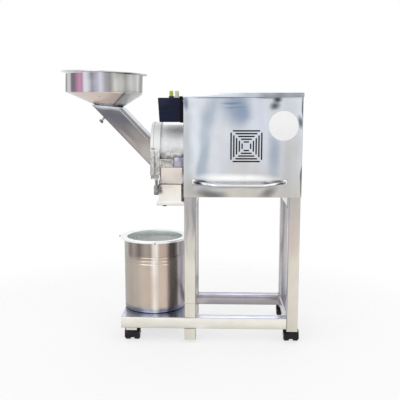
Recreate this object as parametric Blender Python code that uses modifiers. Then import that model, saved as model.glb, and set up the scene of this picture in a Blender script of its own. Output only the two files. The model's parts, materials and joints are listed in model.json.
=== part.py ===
"""Spice pulverizer on a castor stand: metres, +Z up, front facing -Y, floor at Z 0."""
import math

import bmesh
import bpy
from mathutils import Matrix, Vector

# Fits and gauges
SEAT = 0.0003
SHEET = 0.0015
SMALL_EDGE = 0.0010

# Stand of square tube; X 0 is the left face of the left legs, Y 0 the front face of the front legs
TUBE = 0.040
TUBE_WALL = 0.0015
TUBE_CORNER = 0.003
FRAME_WIDTH = 0.402
FRAME_DEPTH = 0.320
RAIL_END_X = -0.2274
LOW_RAIL_Z = 0.052
SIDE_RAIL_Z = 0.486
LEG_FOOT = 0.046
STUB_FOOT = 0.0106
TRAY_GAUGE = 0.0012
TRAY_RIGHT = -0.001

# Castors
WHEEL_RADIUS = 0.020
WHEEL_WIDTH = 0.019
CASTOR_WEB = 0.015
CASTOR_TRAIL = 0.014
HOOD_RADIUS = 0.0225
HOOD_GAP = 0.0008
HOOD_EDGE_Z = 0.012
NECK_RADIUS = 0.010
NECK_FOOT_Z = 0.030
AXLE_RADIUS = 0.003
PAD_SIZE = 0.0395
PAD_FOOT_Z = 0.0442
LEFT_CASTOR_X = -0.1905

# Cabinet; its headroom is measured up from the motor axis
HEADROOM = 0.1984
LEG_TOP_BELOW_LID = 0.022
LID_LIP = 0.015
LID_OVERHANG = 0.0024
PANEL_RETURN = 0.025
SIDE_PANEL_Z = 0.502
VENT_X = 0.2133
VENT_ABOVE_AXIS = 0.0184
VENT_RINGS = 5
VENT_SLOT = 0.0048
VENT_PITCH = 0.0094
VENT_INNER_OFFSET = 0.0145
VENT_INNER_LENGTH = 0.020
VENT_LENGTH_STEP = 0.0185

# Front handle
HANDLE_RADIUS = 0.005
HANDLE_BOSSES_X = (0.036, 0.345)
HANDLE_BAR_X = (0.103, 0.273)
HANDLE_BOSS_Z = 0.580
HANDLE_BAR_Z = 0.573
HANDLE_BAR_Y = -0.058
HANDLE_BOSS_RADIUS = 0.009
HANDLE_BOSS_LENGTH = 0.007

# Motor of frame size 112 on its plate
PLATE_GAUGE = 0.005
SHAFT_HEIGHT = 0.112
MOTOR_FRONT_X = 0.0453
MOTOR_RADIUS = 0.100
FIN_DEPTH = 0.009
FIN_COUNT = 26
SHAFT_RADIUS = 0.014
SHIELD_LENGTH = 0.030
SHIELD_RADIUS = 0.094
SHIELD_FACE_RADIUS = 0.080
COWL_CLEARANCE = 0.030
COWL_LENGTH = 0.0715
COWL_RADIUS = 0.102
REAR_SHIELD_LENGTH = 0.0155
SHAFT_END_GAP = 0.019
FAN_END_GAP = 0.022
FAN_LENGTH = 0.035
FAN_BLADES = 7
BLADE_GAUGE = 0.003
BLADE_RADIUS = 0.084

# Grinding chamber, turned about the motor axis
AXIS_Y = 0.160
BORE_RADIUS = 0.081
BARREL_RADIUS = 0.088
FLANGE_RADIUS = 0.0985
BACK_FLANGE_RADIUS = 0.098
PARTING_X = -0.1115
PARTING_GAP = 0.001
FLANGE_X = -0.088
BACK_FLANGE_X = -0.009
BACK_WALL_X = -0.021
DOOR_THICKNESS = 0.010
SPIGOT_RADIUS = 0.079
SPIGOT_X = -0.1083
THROAT_X = (-0.086, -0.012)
THROAT_Z = 0.640
THROAT_WALL = 0.006
GRIND_X = (-0.108, -0.022)
LINER_RADIUS = 0.0804
ROTOR_RADIUS = 0.071
HUB_RADIUS = 0.012

# Door hinge on the near side, and its two swing bolts
HINGE_Y = 0.044
HINGE_BLOCK_Z = (0.597, 0.688)
HINGE_KNUCKLE_Z = (0.6225, 0.6625)
HINGE_BLOCK_END_Y = 0.100
KNUCKLE_RADIUS = 0.008
PIN_RADIUS = 0.004
PIVOT_FIT = 0.0003
BLOCK_STEP = 0.0005
BOLT_X = -0.103
BOLT_Z = 0.5874
BOLT_EYE_RADIUS = 0.009
BOLT_EYE_WIDTH = 0.010
BOLT_ROD_RADIUS = 0.0048
BOLT_THREAD_RADIUS = 0.0037
BOLT_SHOULDER = 0.027
BOLT_LENGTH = 0.0595
KNOB_TOP = 0.028
KNOB_LENGTH = 0.036
KNOB_RADIUS = 0.0095
CLAMPS_Y = {"front": 0.075, "rear": 0.245}

# Cast arm from the hinge block to the cabinet
ARM_Y = (0.042, 0.058)
ARM_Z = (0.624, 0.654)
ARM_JOINT_X = -0.038
BRACKET_Y = (0.034, 0.060)
BRACKET_Z = (0.625, 0.663)

# Discharge duct and slip-on sleeve
DUCT_TOP_X = (-0.0877, -0.010)
DUCT_BOTTOM_X = (-0.0950, -0.0120)
DUCT_TOP_HALF_Y = 0.088
DUCT_BOTTOM_HALF_Y = 0.0545
DUCT_COLLAR = 0.008
DUCT_KNEE_Z = 0.582
DUCT_BOTTOM_Z = 0.555
SLEEVE_X = (-0.098, -0.009)
SLEEVE_HALF_Y = 0.058
SLEEVE_Z = (0.482, 0.558)
SLEEVE_FLANGE = 0.007
SLEEVE_FLANGE_HEIGHT = 0.012

# Feed chute: corners in the X-Z plane
CHUTE_UPPER_LEFT = (-0.336, 0.843)
CHUTE_UPPER_RIGHT = (-0.231, 0.833)
CHUTE_LOWER_RIGHT_Z = 0.718
CHUTE_LOWER_LEFT_Z = 0.620
CHUTE_HALF_WIDTH = 0.045
TRIM = 0.010
COVER_LENGTH = 0.148
COVER_LIP = 0.010
FEED_HALF_WIDTH = 0.040
FEED_Z = (0.628, 0.716)

# Feed gate through the underside of the chute
GATE_ALONG = 0.0596
GATE_HALF_WIDTH = 0.042
GATE_DEPTH = 0.044
GATE_OUTSIDE = 0.010
GATE_GAUGE = 0.002
GATE_STEM_RADIUS = 0.003
GATE_STEM = 0.020
GATE_KNOB_RADIUS = 0.008
GATE_KNOB_HEIGHT = 0.008

# Hopper
HOPPER_X = -0.301
HOPPER_Z = 0.841
HOPPER_TILT = math.radians(2.2)
HOPPER_GAUGE = 0.0012
HOPPER_RADIUS = 0.1385
HOPPER_RIM_RADIUS = 0.1545
HOPPER_CONE_HEIGHT = 0.0435
HOPPER_RIM_Z = 0.112
HOPPER_LIP = 0.005
OUTLET_X = -0.284
OUTLET_HALF_X = 0.050
OUTLET_HALF_Y = 0.042

# Collecting drum
DRUM_X = -0.119
DRUM_Y = 0.151
DRUM_RADIUS = 0.113
DRUM_GAUGE = 0.0012
DRUM_GROOVES_Z = (0.299, 0.287, 0.275)
GROOVE_DEPTH = 0.0015
GROOVE_HALF_WIDTH = 0.003
DRUM_BASE_EDGE = 0.004
COLLAR_TOP = 0.360
COLLAR_RADIUS = 0.127
COLLAR_INNER_RADIUS = 0.102
COLLAR_LIP = 0.006
COLLAR_BAND = 0.018

# Starter box on the left wall
STARTER_LEFT = -0.090
STARTER_TAPER = 0.005
STARTER_Y = (0.020, 0.120)
STARTER_BELOW_LID = 0.016
STARTER_HEIGHT = 0.083
BUTTON_Y = 0.070
BUTTONS_X = {"start": -0.047, "stop": -0.027}
BUTTON_RADIUS = 0.00675
BUTTON_HEIGHT = 0.025
BUTTON_TRAVEL = 0.004
BEZEL_RADIUS = 0.0092
BEZEL_HEIGHT = 0.006

# Places that follow from the sizes above
LOW_RAIL_TOP = LOW_RAIL_Z + TUBE
CROSS_RAIL_Z = SIDE_RAIL_Z + TUBE
DECK_Z = CROSS_RAIL_Z + TUBE
RIGHT_LEG_X = FRAME_WIDTH - TUBE
REAR_LEG_Y = FRAME_DEPTH - TUBE
CASE_GAP = SHEET + SEAT
CASE_X = (-CASE_GAP, FRAME_WIDTH + CASE_GAP)
CASE_Y = (-CASE_GAP, FRAME_DEPTH + CASE_GAP)
AXIS_Z = DECK_Z + 2 * SEAT + PLATE_GAUGE + SHAFT_HEIGHT
LID_TOP = AXIS_Z + HEADROOM
LEG_TOP = LID_TOP - LEG_TOP_BELOW_LID
PANEL_TOP = LID_TOP - SHEET - SEAT
VENT_Z = AXIS_Z + VENT_ABOVE_AXIS
WALL_X = CASE_X[0] - SEAT
WALL_Y = CASE_Y[0] - SEAT
COWL_END_X = FRAME_WIDTH - COWL_CLEARANCE
COWL_X = (COWL_END_X - COWL_LENGTH, COWL_END_X)
MOTOR_BODY_X = (MOTOR_FRONT_X + SHIELD_LENGTH, COWL_X[0] - REAR_SHIELD_LENGTH)
FAN_X = (COWL_END_X - FAN_END_GAP - FAN_LENGTH, COWL_END_X - FAN_END_GAP)
STARTER_Z = (LID_TOP - STARTER_BELOW_LID - STARTER_HEIGHT, LID_TOP - STARTER_BELOW_LID)
BUTTON_TOP = STARTER_Z[1] + BUTTON_HEIGHT
BEZEL_TOP = STARTER_Z[1] + BEZEL_HEIGHT
BODY_FACE_X = PARTING_X + PARTING_GAP / 2
DOOR_BACK_X = PARTING_X - PARTING_GAP / 2
DOOR_FACE_X = DOOR_BACK_X - DOOR_THICKNESS
CHUTE_END_X = DOOR_FACE_X - SEAT
TRAY_Z = LOW_RAIL_TOP + SEAT
DRUM_BASE_Z = TRAY_Z + TRAY_GAUGE + SEAT
CASTOR_WIDTH = CASTOR_WEB + 2 * WHEEL_WIDTH
RIM_X = HOPPER_X + HOPPER_RIM_Z * math.sin(HOPPER_TILT)
LEFTMOST_X = RIM_X - HOPPER_RIM_RADIUS * math.cos(HOPPER_TILT)
RIGHTMOST_X = RIGHT_LEG_X + (TUBE + CASTOR_WIDTH) / 2
REARMOST_Y = REAR_LEG_Y + TUBE / 2 + CASTOR_TRAIL + HOOD_RADIUS
MIDDLE_X = (LEFTMOST_X + RIGHTMOST_X) / 2
MIDDLE_Y = (HANDLE_BAR_Y - HANDLE_RADIUS + REARMOST_Y) / 2

# Finishes: base colour, roughness, metallic
FINISHES = {
    "polished_steel": ((0.72, 0.71, 0.68), 0.16, 1.0),
    "satin_steel": ((0.55, 0.54, 0.53), 0.38, 1.0),
    "cast_steel": ((0.42, 0.41, 0.40), 0.50, 1.0),
    "spun_aluminium": ((0.86, 0.88, 0.87), 0.30, 1.0),
    "motor_paint": ((0.16, 0.20, 0.24), 0.50, 0.0),
    "black_plastic": ((0.016, 0.015, 0.020), 0.42, 0.0),
    "starter_case": ((0.013, 0.019, 0.040), 0.30, 0.0),
    "start_plastic": ((0.46, 0.52, 0.10), 0.35, 0.0),
    "stop_plastic": ((0.62, 0.58, 0.50), 0.35, 0.0),
}

AXIS_TURN = {"X": (0.0, math.pi / 2, 0.0), "Y": (-math.pi / 2, 0.0, 0.0), "Z": (0.0, 0.0, 0.0)}

# Empty the file and set up the collections
for old in list(bpy.data.objects):
    bpy.data.objects.remove(old, do_unlink=True)

machine = bpy.data.collections.new("spice_pulverizer")
cutters = bpy.data.collections.new("pulverizer_cutters")
for group in (machine, cutters):
    bpy.context.scene.collection.children.link(group)

origin = bpy.data.objects.new("pulverizer_origin", None)
origin.location = (-MIDDLE_X, -MIDDLE_Y, 0.0)
machine.objects.link(origin)

materials = {}
for slot, (colour, roughness, metallic) in FINISHES.items():
    material = bpy.data.materials.new(slot)
    material.use_nodes = True
    surface = material.node_tree.nodes["Principled BSDF"]
    surface.inputs["Base Color"].default_value = (*colour, 1.0)
    surface.inputs["Roughness"].default_value = roughness
    surface.inputs["Metallic"].default_value = metallic
    materials[slot] = material


# Building blocks
def add_object(name, data):
    """Links a part that is placed in the frame of the stand."""
    obj = bpy.data.objects.new(name, data)
    machine.objects.link(obj)
    obj.parent = origin
    return obj


def from_bmesh(name, bm):
    mesh = bpy.data.meshes.new(name)
    bm.to_mesh(mesh)
    bm.free()
    return add_object(name, mesh)


def box(name, low, high):
    """Box between two corners with its origin in the middle."""
    low = Vector(low)
    high = Vector(high)
    bm = bmesh.new()
    bmesh.ops.create_cube(bm, size=1.0)
    bmesh.ops.scale(bm, vec=high - low, verts=bm.verts)
    obj = from_bmesh(name, bm)
    obj.location = (low + high) / 2
    return obj


def cylinder(name, at, radius, length, axis="Z", segments=24):
    bm = bmesh.new()
    bmesh.ops.create_cone(bm, cap_ends=True, segments=segments, radius1=radius, radius2=radius, depth=length)
    obj = from_bmesh(name, bm)
    obj.location = at
    obj.rotation_euler = AXIS_TURN[axis]
    obj.data.shade_smooth()
    obj.data.set_sharp_from_angle(angle=math.radians(35))
    return obj


def turned(name, profiles, at, axis="Z", steps=36, closed=False):
    """Body of revolution; each profile lists (radius, height) down its outer side."""
    verts = []
    edges = []
    for profile in profiles:
        first = len(verts)
        verts.extend((radius, 0.0, height) for radius, height in profile)
        edges.extend((i, i + 1) for i in range(first, len(verts) - 1))
        if closed:
            edges.append((len(verts) - 1, first))
    mesh = bpy.data.meshes.new(name)
    mesh.from_pydata(verts, edges, [])
    obj = add_object(name, mesh)
    obj.location = at
    obj.rotation_euler = AXIS_TURN[axis]
    screw = obj.modifiers.new("Turn", "SCREW")
    screw.steps = steps
    screw.render_steps = steps
    screw.use_merge_vertices = True
    screw.merge_threshold = 0.00001
    screw.use_smooth_shade = True
    return obj


def from_curve(name, curve):
    """Plain mesh of a curve, its caps welded on."""
    holder = bpy.data.objects.new(name, curve)
    machine.objects.link(holder)
    bpy.context.view_layer.update()
    evaluated = holder.evaluated_get(bpy.context.evaluated_depsgraph_get())
    mesh = bpy.data.meshes.new_from_object(evaluated)
    bpy.data.objects.remove(holder, do_unlink=True)
    bpy.data.curves.remove(curve)
    bm = bmesh.new()
    bm.from_mesh(mesh)
    bpy.data.meshes.remove(mesh)
    bmesh.ops.remove_doubles(bm, verts=bm.verts, dist=0.00001)
    bmesh.ops.recalc_face_normals(bm, faces=bm.faces)
    return from_bmesh(name, bm)


def extruded(name, outlines, half_length, at, axis="Z"):
    """Flat outlines in local X-Y, drawn out both ways along the axis."""
    curve = bpy.data.curves.new(name, "CURVE")
    curve.dimensions = "2D"
    curve.fill_mode = "BOTH"
    curve.extrude = half_length
    for outline in outlines:
        spline = curve.splines.new("POLY")
        spline.points.add(len(outline) - 1)
        spline.use_cyclic_u = True
        for point, (x, y) in zip(spline.points, outline):
            point.co = (x, y, 0.0, 1.0)
    obj = from_curve(name, curve)
    obj.location = at
    obj.rotation_euler = AXIS_TURN[axis]
    return obj


def bent_bar(name, corners, bend_radii, radius):
    """Round bar through corner points, each inner corner bent to its radius."""
    path = [Vector(corners[0])]
    for before, corner, after, bend in zip(corners, corners[1:], corners[2:], bend_radii):
        corner = Vector(corner)
        back = (Vector(before) - corner).normalized()
        onward = (Vector(after) - corner).normalized()
        half_angle = back.angle(onward) / 2
        centre = corner + (back + onward).normalized() * bend / math.sin(half_angle)
        reach = bend / math.tan(half_angle)
        start = (corner + back * reach - centre).normalized()
        end = (corner + onward * reach - centre).normalized()
        path.extend(centre + start.slerp(end, i / 4) * bend for i in range(5))
    path.append(Vector(corners[-1]))
    curve = bpy.data.curves.new(name, "CURVE")
    curve.dimensions = "3D"
    curve.bevel_depth = radius
    curve.bevel_resolution = 2
    curve.use_fill_caps = True
    spline = curve.splines.new("POLY")
    spline.points.add(len(path) - 1)
    for point, place in zip(spline.points, path):
        point.co = (*place, 1.0)
    return from_curve(name, curve)


def remove_faces(obj, *directions):
    """Opens a box by taking away the faces that look along the given directions."""
    bm = bmesh.new()
    bm.from_mesh(obj.data)
    gone = [face for face in bm.faces if any(face.normal.dot(Vector(d)) > 0.9 for d in directions)]
    bmesh.ops.delete(bm, geom=gone, context="FACES")
    bm.to_mesh(obj.data)
    bm.free()


def round_edges(obj, width, segments=1):
    bevel = obj.modifiers.new("Edges", "BEVEL")
    bevel.width = width
    bevel.segments = segments
    bevel.limit_method = "ANGLE"
    bevel.angle_limit = math.radians(30)


def thicken(obj, gauge):
    solid = obj.modifiers.new("Gauge", "SOLIDIFY")
    solid.thickness = gauge
    solid.offset = -1.0
    solid.use_even_offset = True


def combine(obj, operation, other):
    """Boolean with a hidden operand."""
    boolean = obj.modifiers.new(operation.title(), "BOOLEAN")
    boolean.operation = operation
    boolean.solver = "EXACT"
    boolean.object = other
    machine.objects.unlink(other)
    cutters.objects.link(other)
    other.hide_render = True
    other.display_type = "WIRE"


def cut(obj, *others):
    for other in others:
        combine(obj, "DIFFERENCE", other)


def join(obj, *others):
    for other in others:
        combine(obj, "UNION", other)


def bake(obj):
    """Turns the live shape into a plain mesh so that single vertices can be moved."""
    bpy.context.view_layer.update()
    evaluated = obj.evaluated_get(bpy.context.evaluated_depsgraph_get())
    obj.data = bpy.data.meshes.new_from_object(evaluated)
    obj.modifiers.clear()


def tilt_onto(obj, at, angle):
    """Turns a part built about the origin around Y and moves it to its place."""
    turn = Matrix.Rotation(angle, 3, "Y")
    obj.location = Vector(at) + turn @ obj.location
    obj.rotation_euler.y += angle


def joint_frame(name, at, parent=origin):
    """Empty on a joint axis."""
    frame = bpy.data.objects.new(name, None)
    machine.objects.link(frame)
    frame.empty_display_size = 0.02
    frame.location = at
    carry(frame, parent)
    return frame


def carry(obj, frame):
    """Hangs a part on a joint frame without moving it."""
    obj.parent = frame
    holder = frame
    while holder is not origin:
        obj.location = obj.location - holder.location
        holder = holder.parent


def finish(obj, slot):
    obj.data.materials.clear()
    obj.data.materials.append(materials[slot])


# Stand
def square_tube(name, low, high, along):
    """Open-ended square tube between two corners."""
    piece = box(name, low, high)
    direction = [0.0, 0.0, 0.0]
    direction[along] = 1.0
    remove_faces(piece, direction, [-part for part in direction])
    round_edges(piece, TUBE_CORNER, 2)
    thicken(piece, TUBE_WALL)
    finish(piece, "polished_steel")
    return piece


LEG_ROWS = {"front": 0.0, "rear": REAR_LEG_Y}
castor_carriers = {}

for row, y in LEG_ROWS.items():
    square_tube(f"leg_{row}_left", (0.0, y, TRAY_Z), (TUBE, y + TUBE, LEG_TOP), 2)
    castor_carriers[row, "right"] = square_tube(
        f"leg_{row}_right",
        (RIGHT_LEG_X, y, LEG_FOOT),
        (FRAME_WIDTH, y + TUBE, LEG_TOP),
        2,
    )
    square_tube(f"leg_stub_{row}", (0.0, y, STUB_FOOT), (TUBE, y + TUBE, LOW_RAIL_Z - SEAT), 2)
    castor_carriers[row, "left"] = square_tube(
        f"bottom_rail_{row}",
        (RAIL_END_X, y, LOW_RAIL_Z),
        (RIGHT_LEG_X - SEAT, y + TUBE, LOW_RAIL_TOP),
        0,
    )
    square_tube(
        f"top_rail_{row}",
        (TUBE + SEAT, y, CROSS_RAIL_Z),
        (RIGHT_LEG_X - SEAT, y + TUBE, DECK_Z),
        0,
    )

for name, x, z in (
    ("bottom_rail_left", RAIL_END_X, LOW_RAIL_Z),
    ("bottom_rail_right", RIGHT_LEG_X, LOW_RAIL_Z),
    ("top_rail_left", 0.0, SIDE_RAIL_Z),
    ("top_rail_right", RIGHT_LEG_X, SIDE_RAIL_Z),
):
    square_tube(name, (x, TUBE + SEAT, z), (x + TUBE, REAR_LEG_Y - SEAT, z + TUBE), 1)

tray = box("drum_tray", (RAIL_END_X, 0.0, TRAY_Z), (TRAY_RIGHT, FRAME_DEPTH, TRAY_Z + TRAY_GAUGE))
finish(tray, "polished_steel")


# Castors under pads welded to the frame
def castor(corner, x, y):
    """Hood that swivels about the leg, and a wheel pair that rolls on its axle."""
    width = CASTOR_WIDTH
    axle = Vector((x, y + CASTOR_TRAIL, WHEEL_RADIUS))
    neck_top = PAD_FOOT_Z - SEAT
    hood = cylinder(f"castor_hood_{corner}", axle, HOOD_RADIUS, width, "X", 28)
    neck_middle = (x, y, (NECK_FOOT_Z + neck_top) / 2)
    join(hood, cylinder("neck", neck_middle, NECK_RADIUS, neck_top - NECK_FOOT_Z, "Z", 16))
    for side in (-1, 1):
        well_middle = axle + Vector((side * (CASTOR_WEB / 2 + WHEEL_WIDTH), 0.0, 0.0))
        cut(hood, cylinder("wheel_well", well_middle, WHEEL_RADIUS + HOOD_GAP, 2 * WHEEL_WIDTH, "X", 28))
    cut(
        hood,
        box("below_hood", (x - width, y - width, -width), (x + width, y + width, HOOD_EDGE_Z)),
        cylinder("axle_hole", axle, AXLE_RADIUS + SEAT, 2 * width, "X", 16),
    )
    finish(hood, "black_plastic")
    inner = CASTOR_WEB / 2 + SEAT
    outer = width / 2
    half_profile = [
        (0.0, outer),
        (WHEEL_RADIUS * 0.78, outer),
        (WHEEL_RADIUS, outer - 0.003),
        (WHEEL_RADIUS, inner),
        (AXLE_RADIUS, inner),
    ]
    profile = half_profile + [(radius, -height) for radius, height in reversed(half_profile)]
    wheels = turned(f"castor_wheels_{corner}", [profile], axle, "X", 20)
    finish(wheels, "black_plastic")
    swivel = joint_frame(f"swivel_{corner}", (x, y, neck_top))
    rolling = joint_frame(f"roll_{corner}", axle, swivel)
    carry(hood, swivel)
    carry(wheels, rolling)


half_pad = PAD_SIZE / 2
for (row, side), carrier in castor_carriers.items():
    x, pad_top = (LEFT_CASTOR_X, LOW_RAIL_Z) if side == "left" else (RIGHT_LEG_X + TUBE / 2, LEG_FOOT)
    y = LEG_ROWS[row] + TUBE / 2
    pad_low = (x - half_pad, y - half_pad, PAD_FOOT_Z)
    join(carrier, box("castor_pad", pad_low, (x + half_pad, y + half_pad, pad_top + TUBE_WALL / 2)))
    castor(f"{row}_{side}", x, y)


# Cabinet
def slot_outline(x, z, length, upright):
    """Round-ended slot, its long side across or upright."""
    radius = VENT_SLOT / 2
    reach = length / 2 - radius
    outline = []
    for end, first in ((1, -90), (-1, 90)):
        for i in range(4):
            angle = math.radians(first + 60 * i)
            outline.append((end * reach + radius * math.cos(angle), radius * math.sin(angle)))
    if upright:
        outline = [(-b, a) for a, b in outline]
    return [(x + a, z + b) for a, b in outline]


def vent_cutter(name, wall_y):
    """Five square rings of slots as one set of separate prisms."""
    bm = bmesh.new()
    for ring in range(VENT_RINGS):
        offset = VENT_INNER_OFFSET + ring * VENT_PITCH
        length = VENT_INNER_LENGTH + ring * VENT_LENGTH_STEP
        for x, z, upright in ((0, offset, False), (0, -offset, False), (offset, 0, True), (-offset, 0, True)):
            outline = slot_outline(VENT_X + x, VENT_Z + z, length, upright)
            face = bm.faces.new([bm.verts.new((a, wall_y - 5 * SHEET, b)) for a, b in outline])
            pushed = bmesh.ops.extrude_face_region(bm, geom=[face])["geom"]
            moved = [part for part in pushed if isinstance(part, bmesh.types.BMVert)]
            bmesh.ops.translate(bm, vec=(0.0, 10 * SHEET, 0.0), verts=moved)
    bmesh.ops.recalc_face_normals(bm, faces=bm.faces)
    return from_bmesh(name, bm)


def wrap_panel(name, face_y, inward):
    """Front or rear panel with returns round the corners and the vent of slots."""
    back_y = face_y + inward * (PANEL_RETURN + CASE_GAP)
    low_y, high_y = sorted((face_y, back_y))
    panel = box(name, (CASE_X[0], low_y, CROSS_RAIL_Z), (CASE_X[1], high_y, PANEL_TOP))
    remove_faces(panel, (0, inward, 0), (0, 0, 1), (0, 0, -1))
    round_edges(panel, TUBE_CORNER, 2)
    thicken(panel, SHEET)
    cut(panel, vent_cutter("vent_slots", face_y))
    finish(panel, "polished_steel")


wrap_panel("front_panel", CASE_Y[0], 1)
wrap_panel("rear_panel", CASE_Y[1], -1)

for name, x in (("left_panel", CASE_X[0]), ("right_panel", CASE_X[1] - SHEET)):
    panel = box(
        name,
        (x, PANEL_RETURN + SEAT, SIDE_PANEL_Z),
        (x + SHEET, FRAME_DEPTH - PANEL_RETURN - SEAT, PANEL_TOP),
    )
    if name == "left_panel":
        cut(panel, cylinder("shaft_window", (x, AXIS_Y, AXIS_Z), 0.062, 0.020, "X", 32))
    finish(panel, "polished_steel")

lid = box(
    "lid",
    (CASE_X[0] - LID_OVERHANG, CASE_Y[0] - LID_OVERHANG, LID_TOP - LID_LIP),
    (CASE_X[1] + LID_OVERHANG, CASE_Y[1] + LID_OVERHANG, LID_TOP),
)
remove_faces(lid, (0, 0, -1))
round_edges(lid, 0.0022, 2)
thicken(lid, SHEET)
finish(lid, "polished_steel")
carry(lid, joint_frame("lift_lid", (sum(CASE_X) / 2, FRAME_DEPTH / 2, LID_TOP)))

# Front handle
bend_start_y = WALL_Y - 2 * HANDLE_BOSS_LENGTH
handle = bent_bar(
    "front_handle",
    [
        (HANDLE_BOSSES_X[0], WALL_Y - 0.002, HANDLE_BOSS_Z),
        (HANDLE_BOSSES_X[0], bend_start_y, HANDLE_BOSS_Z),
        (HANDLE_BAR_X[0], HANDLE_BAR_Y, HANDLE_BAR_Z),
        (HANDLE_BAR_X[1], HANDLE_BAR_Y, HANDLE_BAR_Z),
        (HANDLE_BOSSES_X[1], bend_start_y, HANDLE_BOSS_Z),
        (HANDLE_BOSSES_X[1], WALL_Y - 0.002, HANDLE_BOSS_Z),
    ],
    (0.008, 0.030, 0.030, 0.008),
    HANDLE_RADIUS,
)
for x in HANDLE_BOSSES_X:
    boss_middle = (x, WALL_Y - HANDLE_BOSS_LENGTH / 2, HANDLE_BOSS_Z)
    join(handle, cylinder("handle_boss", boss_middle, HANDLE_BOSS_RADIUS, HANDLE_BOSS_LENGTH, "Y"))
finish(handle, "polished_steel")

# Motor on its plate
SHAFT_BORE = SHAFT_RADIUS + SEAT
motor_plate = box(
    "motor_plate",
    (0.130, 0.005, DECK_Z + SEAT),
    (0.330, FRAME_DEPTH - 0.005, DECK_Z + SEAT + PLATE_GAUGE),
)
finish(motor_plate, "satin_steel")


def ring_points(radius, count, first=0.0, last=2 * math.pi, closed=True):
    """Points round an arc, the end point left out of a full circle."""
    steps = count if closed else count - 1
    angles = [first + (last - first) * i / steps for i in range(count)]
    return [(radius * math.cos(angle), radius * math.sin(angle)) for angle in angles]


fins = []
for i in range(FIN_COUNT):
    middle = 2 * math.pi * i / FIN_COUNT
    for radius, offset in (
        (MOTOR_RADIUS - FIN_DEPTH, -0.034),
        (MOTOR_RADIUS, -0.020),
        (MOTOR_RADIUS, 0.020),
        (MOTOR_RADIUS - FIN_DEPTH, 0.034),
    ):
        fins.append((radius * math.cos(middle + offset), radius * math.sin(middle + offset)))
motor_length = MOTOR_BODY_X[1] - MOTOR_BODY_X[0]
motor_body = extruded(
    "motor_body",
    [fins],
    motor_length / 2,
    (sum(MOTOR_BODY_X) / 2, AXIS_Y, AXIS_Z),
    "X",
)
foot_z = AXIS_Z - SHAFT_HEIGHT
join(
    motor_body,
    box("motor_pedestal", (0.112, AXIS_Y - 0.064, foot_z + 0.008), (0.250, AXIS_Y + 0.064, foot_z + 0.046)),
    box("motor_foot", (0.106, AXIS_Y - 0.095, foot_z), (0.256, AXIS_Y + 0.095, foot_z + 0.010)),
    box("terminal_box", (0.150, AXIS_Y - 0.045, AXIS_Z + 0.085), (0.240, AXIS_Y + 0.045, AXIS_Z + 0.140)),
    turned(
        "rear_shield",
        [[
            (0.0, COWL_X[0] - SEAT),
            (0.070, COWL_X[0] - SEAT),
            (COWL_RADIUS - SHEET - SEAT, MOTOR_BODY_X[1] + 0.009),
            (COWL_RADIUS - SHEET - SEAT, MOTOR_BODY_X[1] + 0.001),
            (0.088, MOTOR_BODY_X[1] + 0.001),
            (0.088, MOTOR_BODY_X[1] - 0.005),
            (0.0, MOTOR_BODY_X[1] - 0.005),
        ]],
        (0.0, AXIS_Y, AXIS_Z),
        "X",
        24,
    ),
)
cut(motor_body, cylinder("motor_bore", (sum(MOTOR_BODY_X) / 2, AXIS_Y, AXIS_Z), SHAFT_BORE, 0.300, "X"))
finish(motor_body, "motor_paint")

shield = turned(
    "motor_end_shield",
    [[
        (SHAFT_BORE, MOTOR_BODY_X[0] - SEAT),
        (SHIELD_RADIUS, MOTOR_BODY_X[0] - SEAT),
        (SHIELD_RADIUS, MOTOR_BODY_X[0] - 0.014),
        (SHIELD_FACE_RADIUS, MOTOR_FRONT_X + 0.010),
        (SHIELD_FACE_RADIUS, MOTOR_FRONT_X),
        (SHAFT_BORE, MOTOR_FRONT_X),
    ]],
    (0.0, AXIS_Y, AXIS_Z),
    "X",
    24,
    closed=True,
)
finish(shield, "motor_paint")

cowl = turned(
    "fan_cowl",
    [[
        (0.055, COWL_X[1]),
        (COWL_RADIUS - 0.010, COWL_X[1]),
        (COWL_RADIUS, COWL_X[1] - 0.010),
        (COWL_RADIUS, COWL_X[0] - 0.012),
    ]],
    (0.0, AXIS_Y, AXIS_Z),
    "X",
    24,
)
thicken(cowl, SHEET)
finish(cowl, "motor_paint")

fan = turned(
    "cooling_fan",
    [[(SHAFT_BORE, FAN_X[1]), (0.022, FAN_X[1]), (0.026, FAN_X[0]), (SHAFT_BORE, FAN_X[0])]],
    (0.0, AXIS_Y, AXIS_Z),
    "X",
    24,
    closed=True,
)


def spokes(name, count, low, high, at):
    """Separate blocks spaced round the X axis, the first one pointing up."""
    low = Vector(low)
    high = Vector(high)
    bm = bmesh.new()
    for i in range(count):
        made = bmesh.ops.create_cube(bm, size=1.0)["verts"]
        bmesh.ops.scale(bm, vec=high - low, verts=made)
        bmesh.ops.translate(bm, vec=(low + high) / 2, verts=made)
        turn = Matrix.Rotation(2 * math.pi * i / count, 3, "X")
        bmesh.ops.rotate(bm, cent=(0.0, 0.0, 0.0), matrix=turn, verts=made)
    obj = from_bmesh(name, bm)
    obj.location = at
    return obj


axis_place = (0.0, AXIS_Y, AXIS_Z)
blade_low = (FAN_X[0] + 0.003, -BLADE_GAUGE / 2, 0.020)
blade_high = (FAN_X[1] - 0.004, BLADE_GAUGE / 2, BLADE_RADIUS)
join(fan, spokes("fan_blades", FAN_BLADES, blade_low, blade_high, axis_place))
finish(fan, "black_plastic")

shaft = turned(
    "motor_shaft",
    [[
        (0.0, COWL_END_X - SHAFT_END_GAP),
        (SHAFT_RADIUS, COWL_END_X - SHAFT_END_GAP),
        (SHAFT_RADIUS, BACK_WALL_X),
        (HUB_RADIUS, BACK_WALL_X),
        (HUB_RADIUS, -0.092),
        (0.0, -0.092),
    ]],
    axis_place,
    "X",
    24,
)
finish(shaft, "satin_steel")

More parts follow.
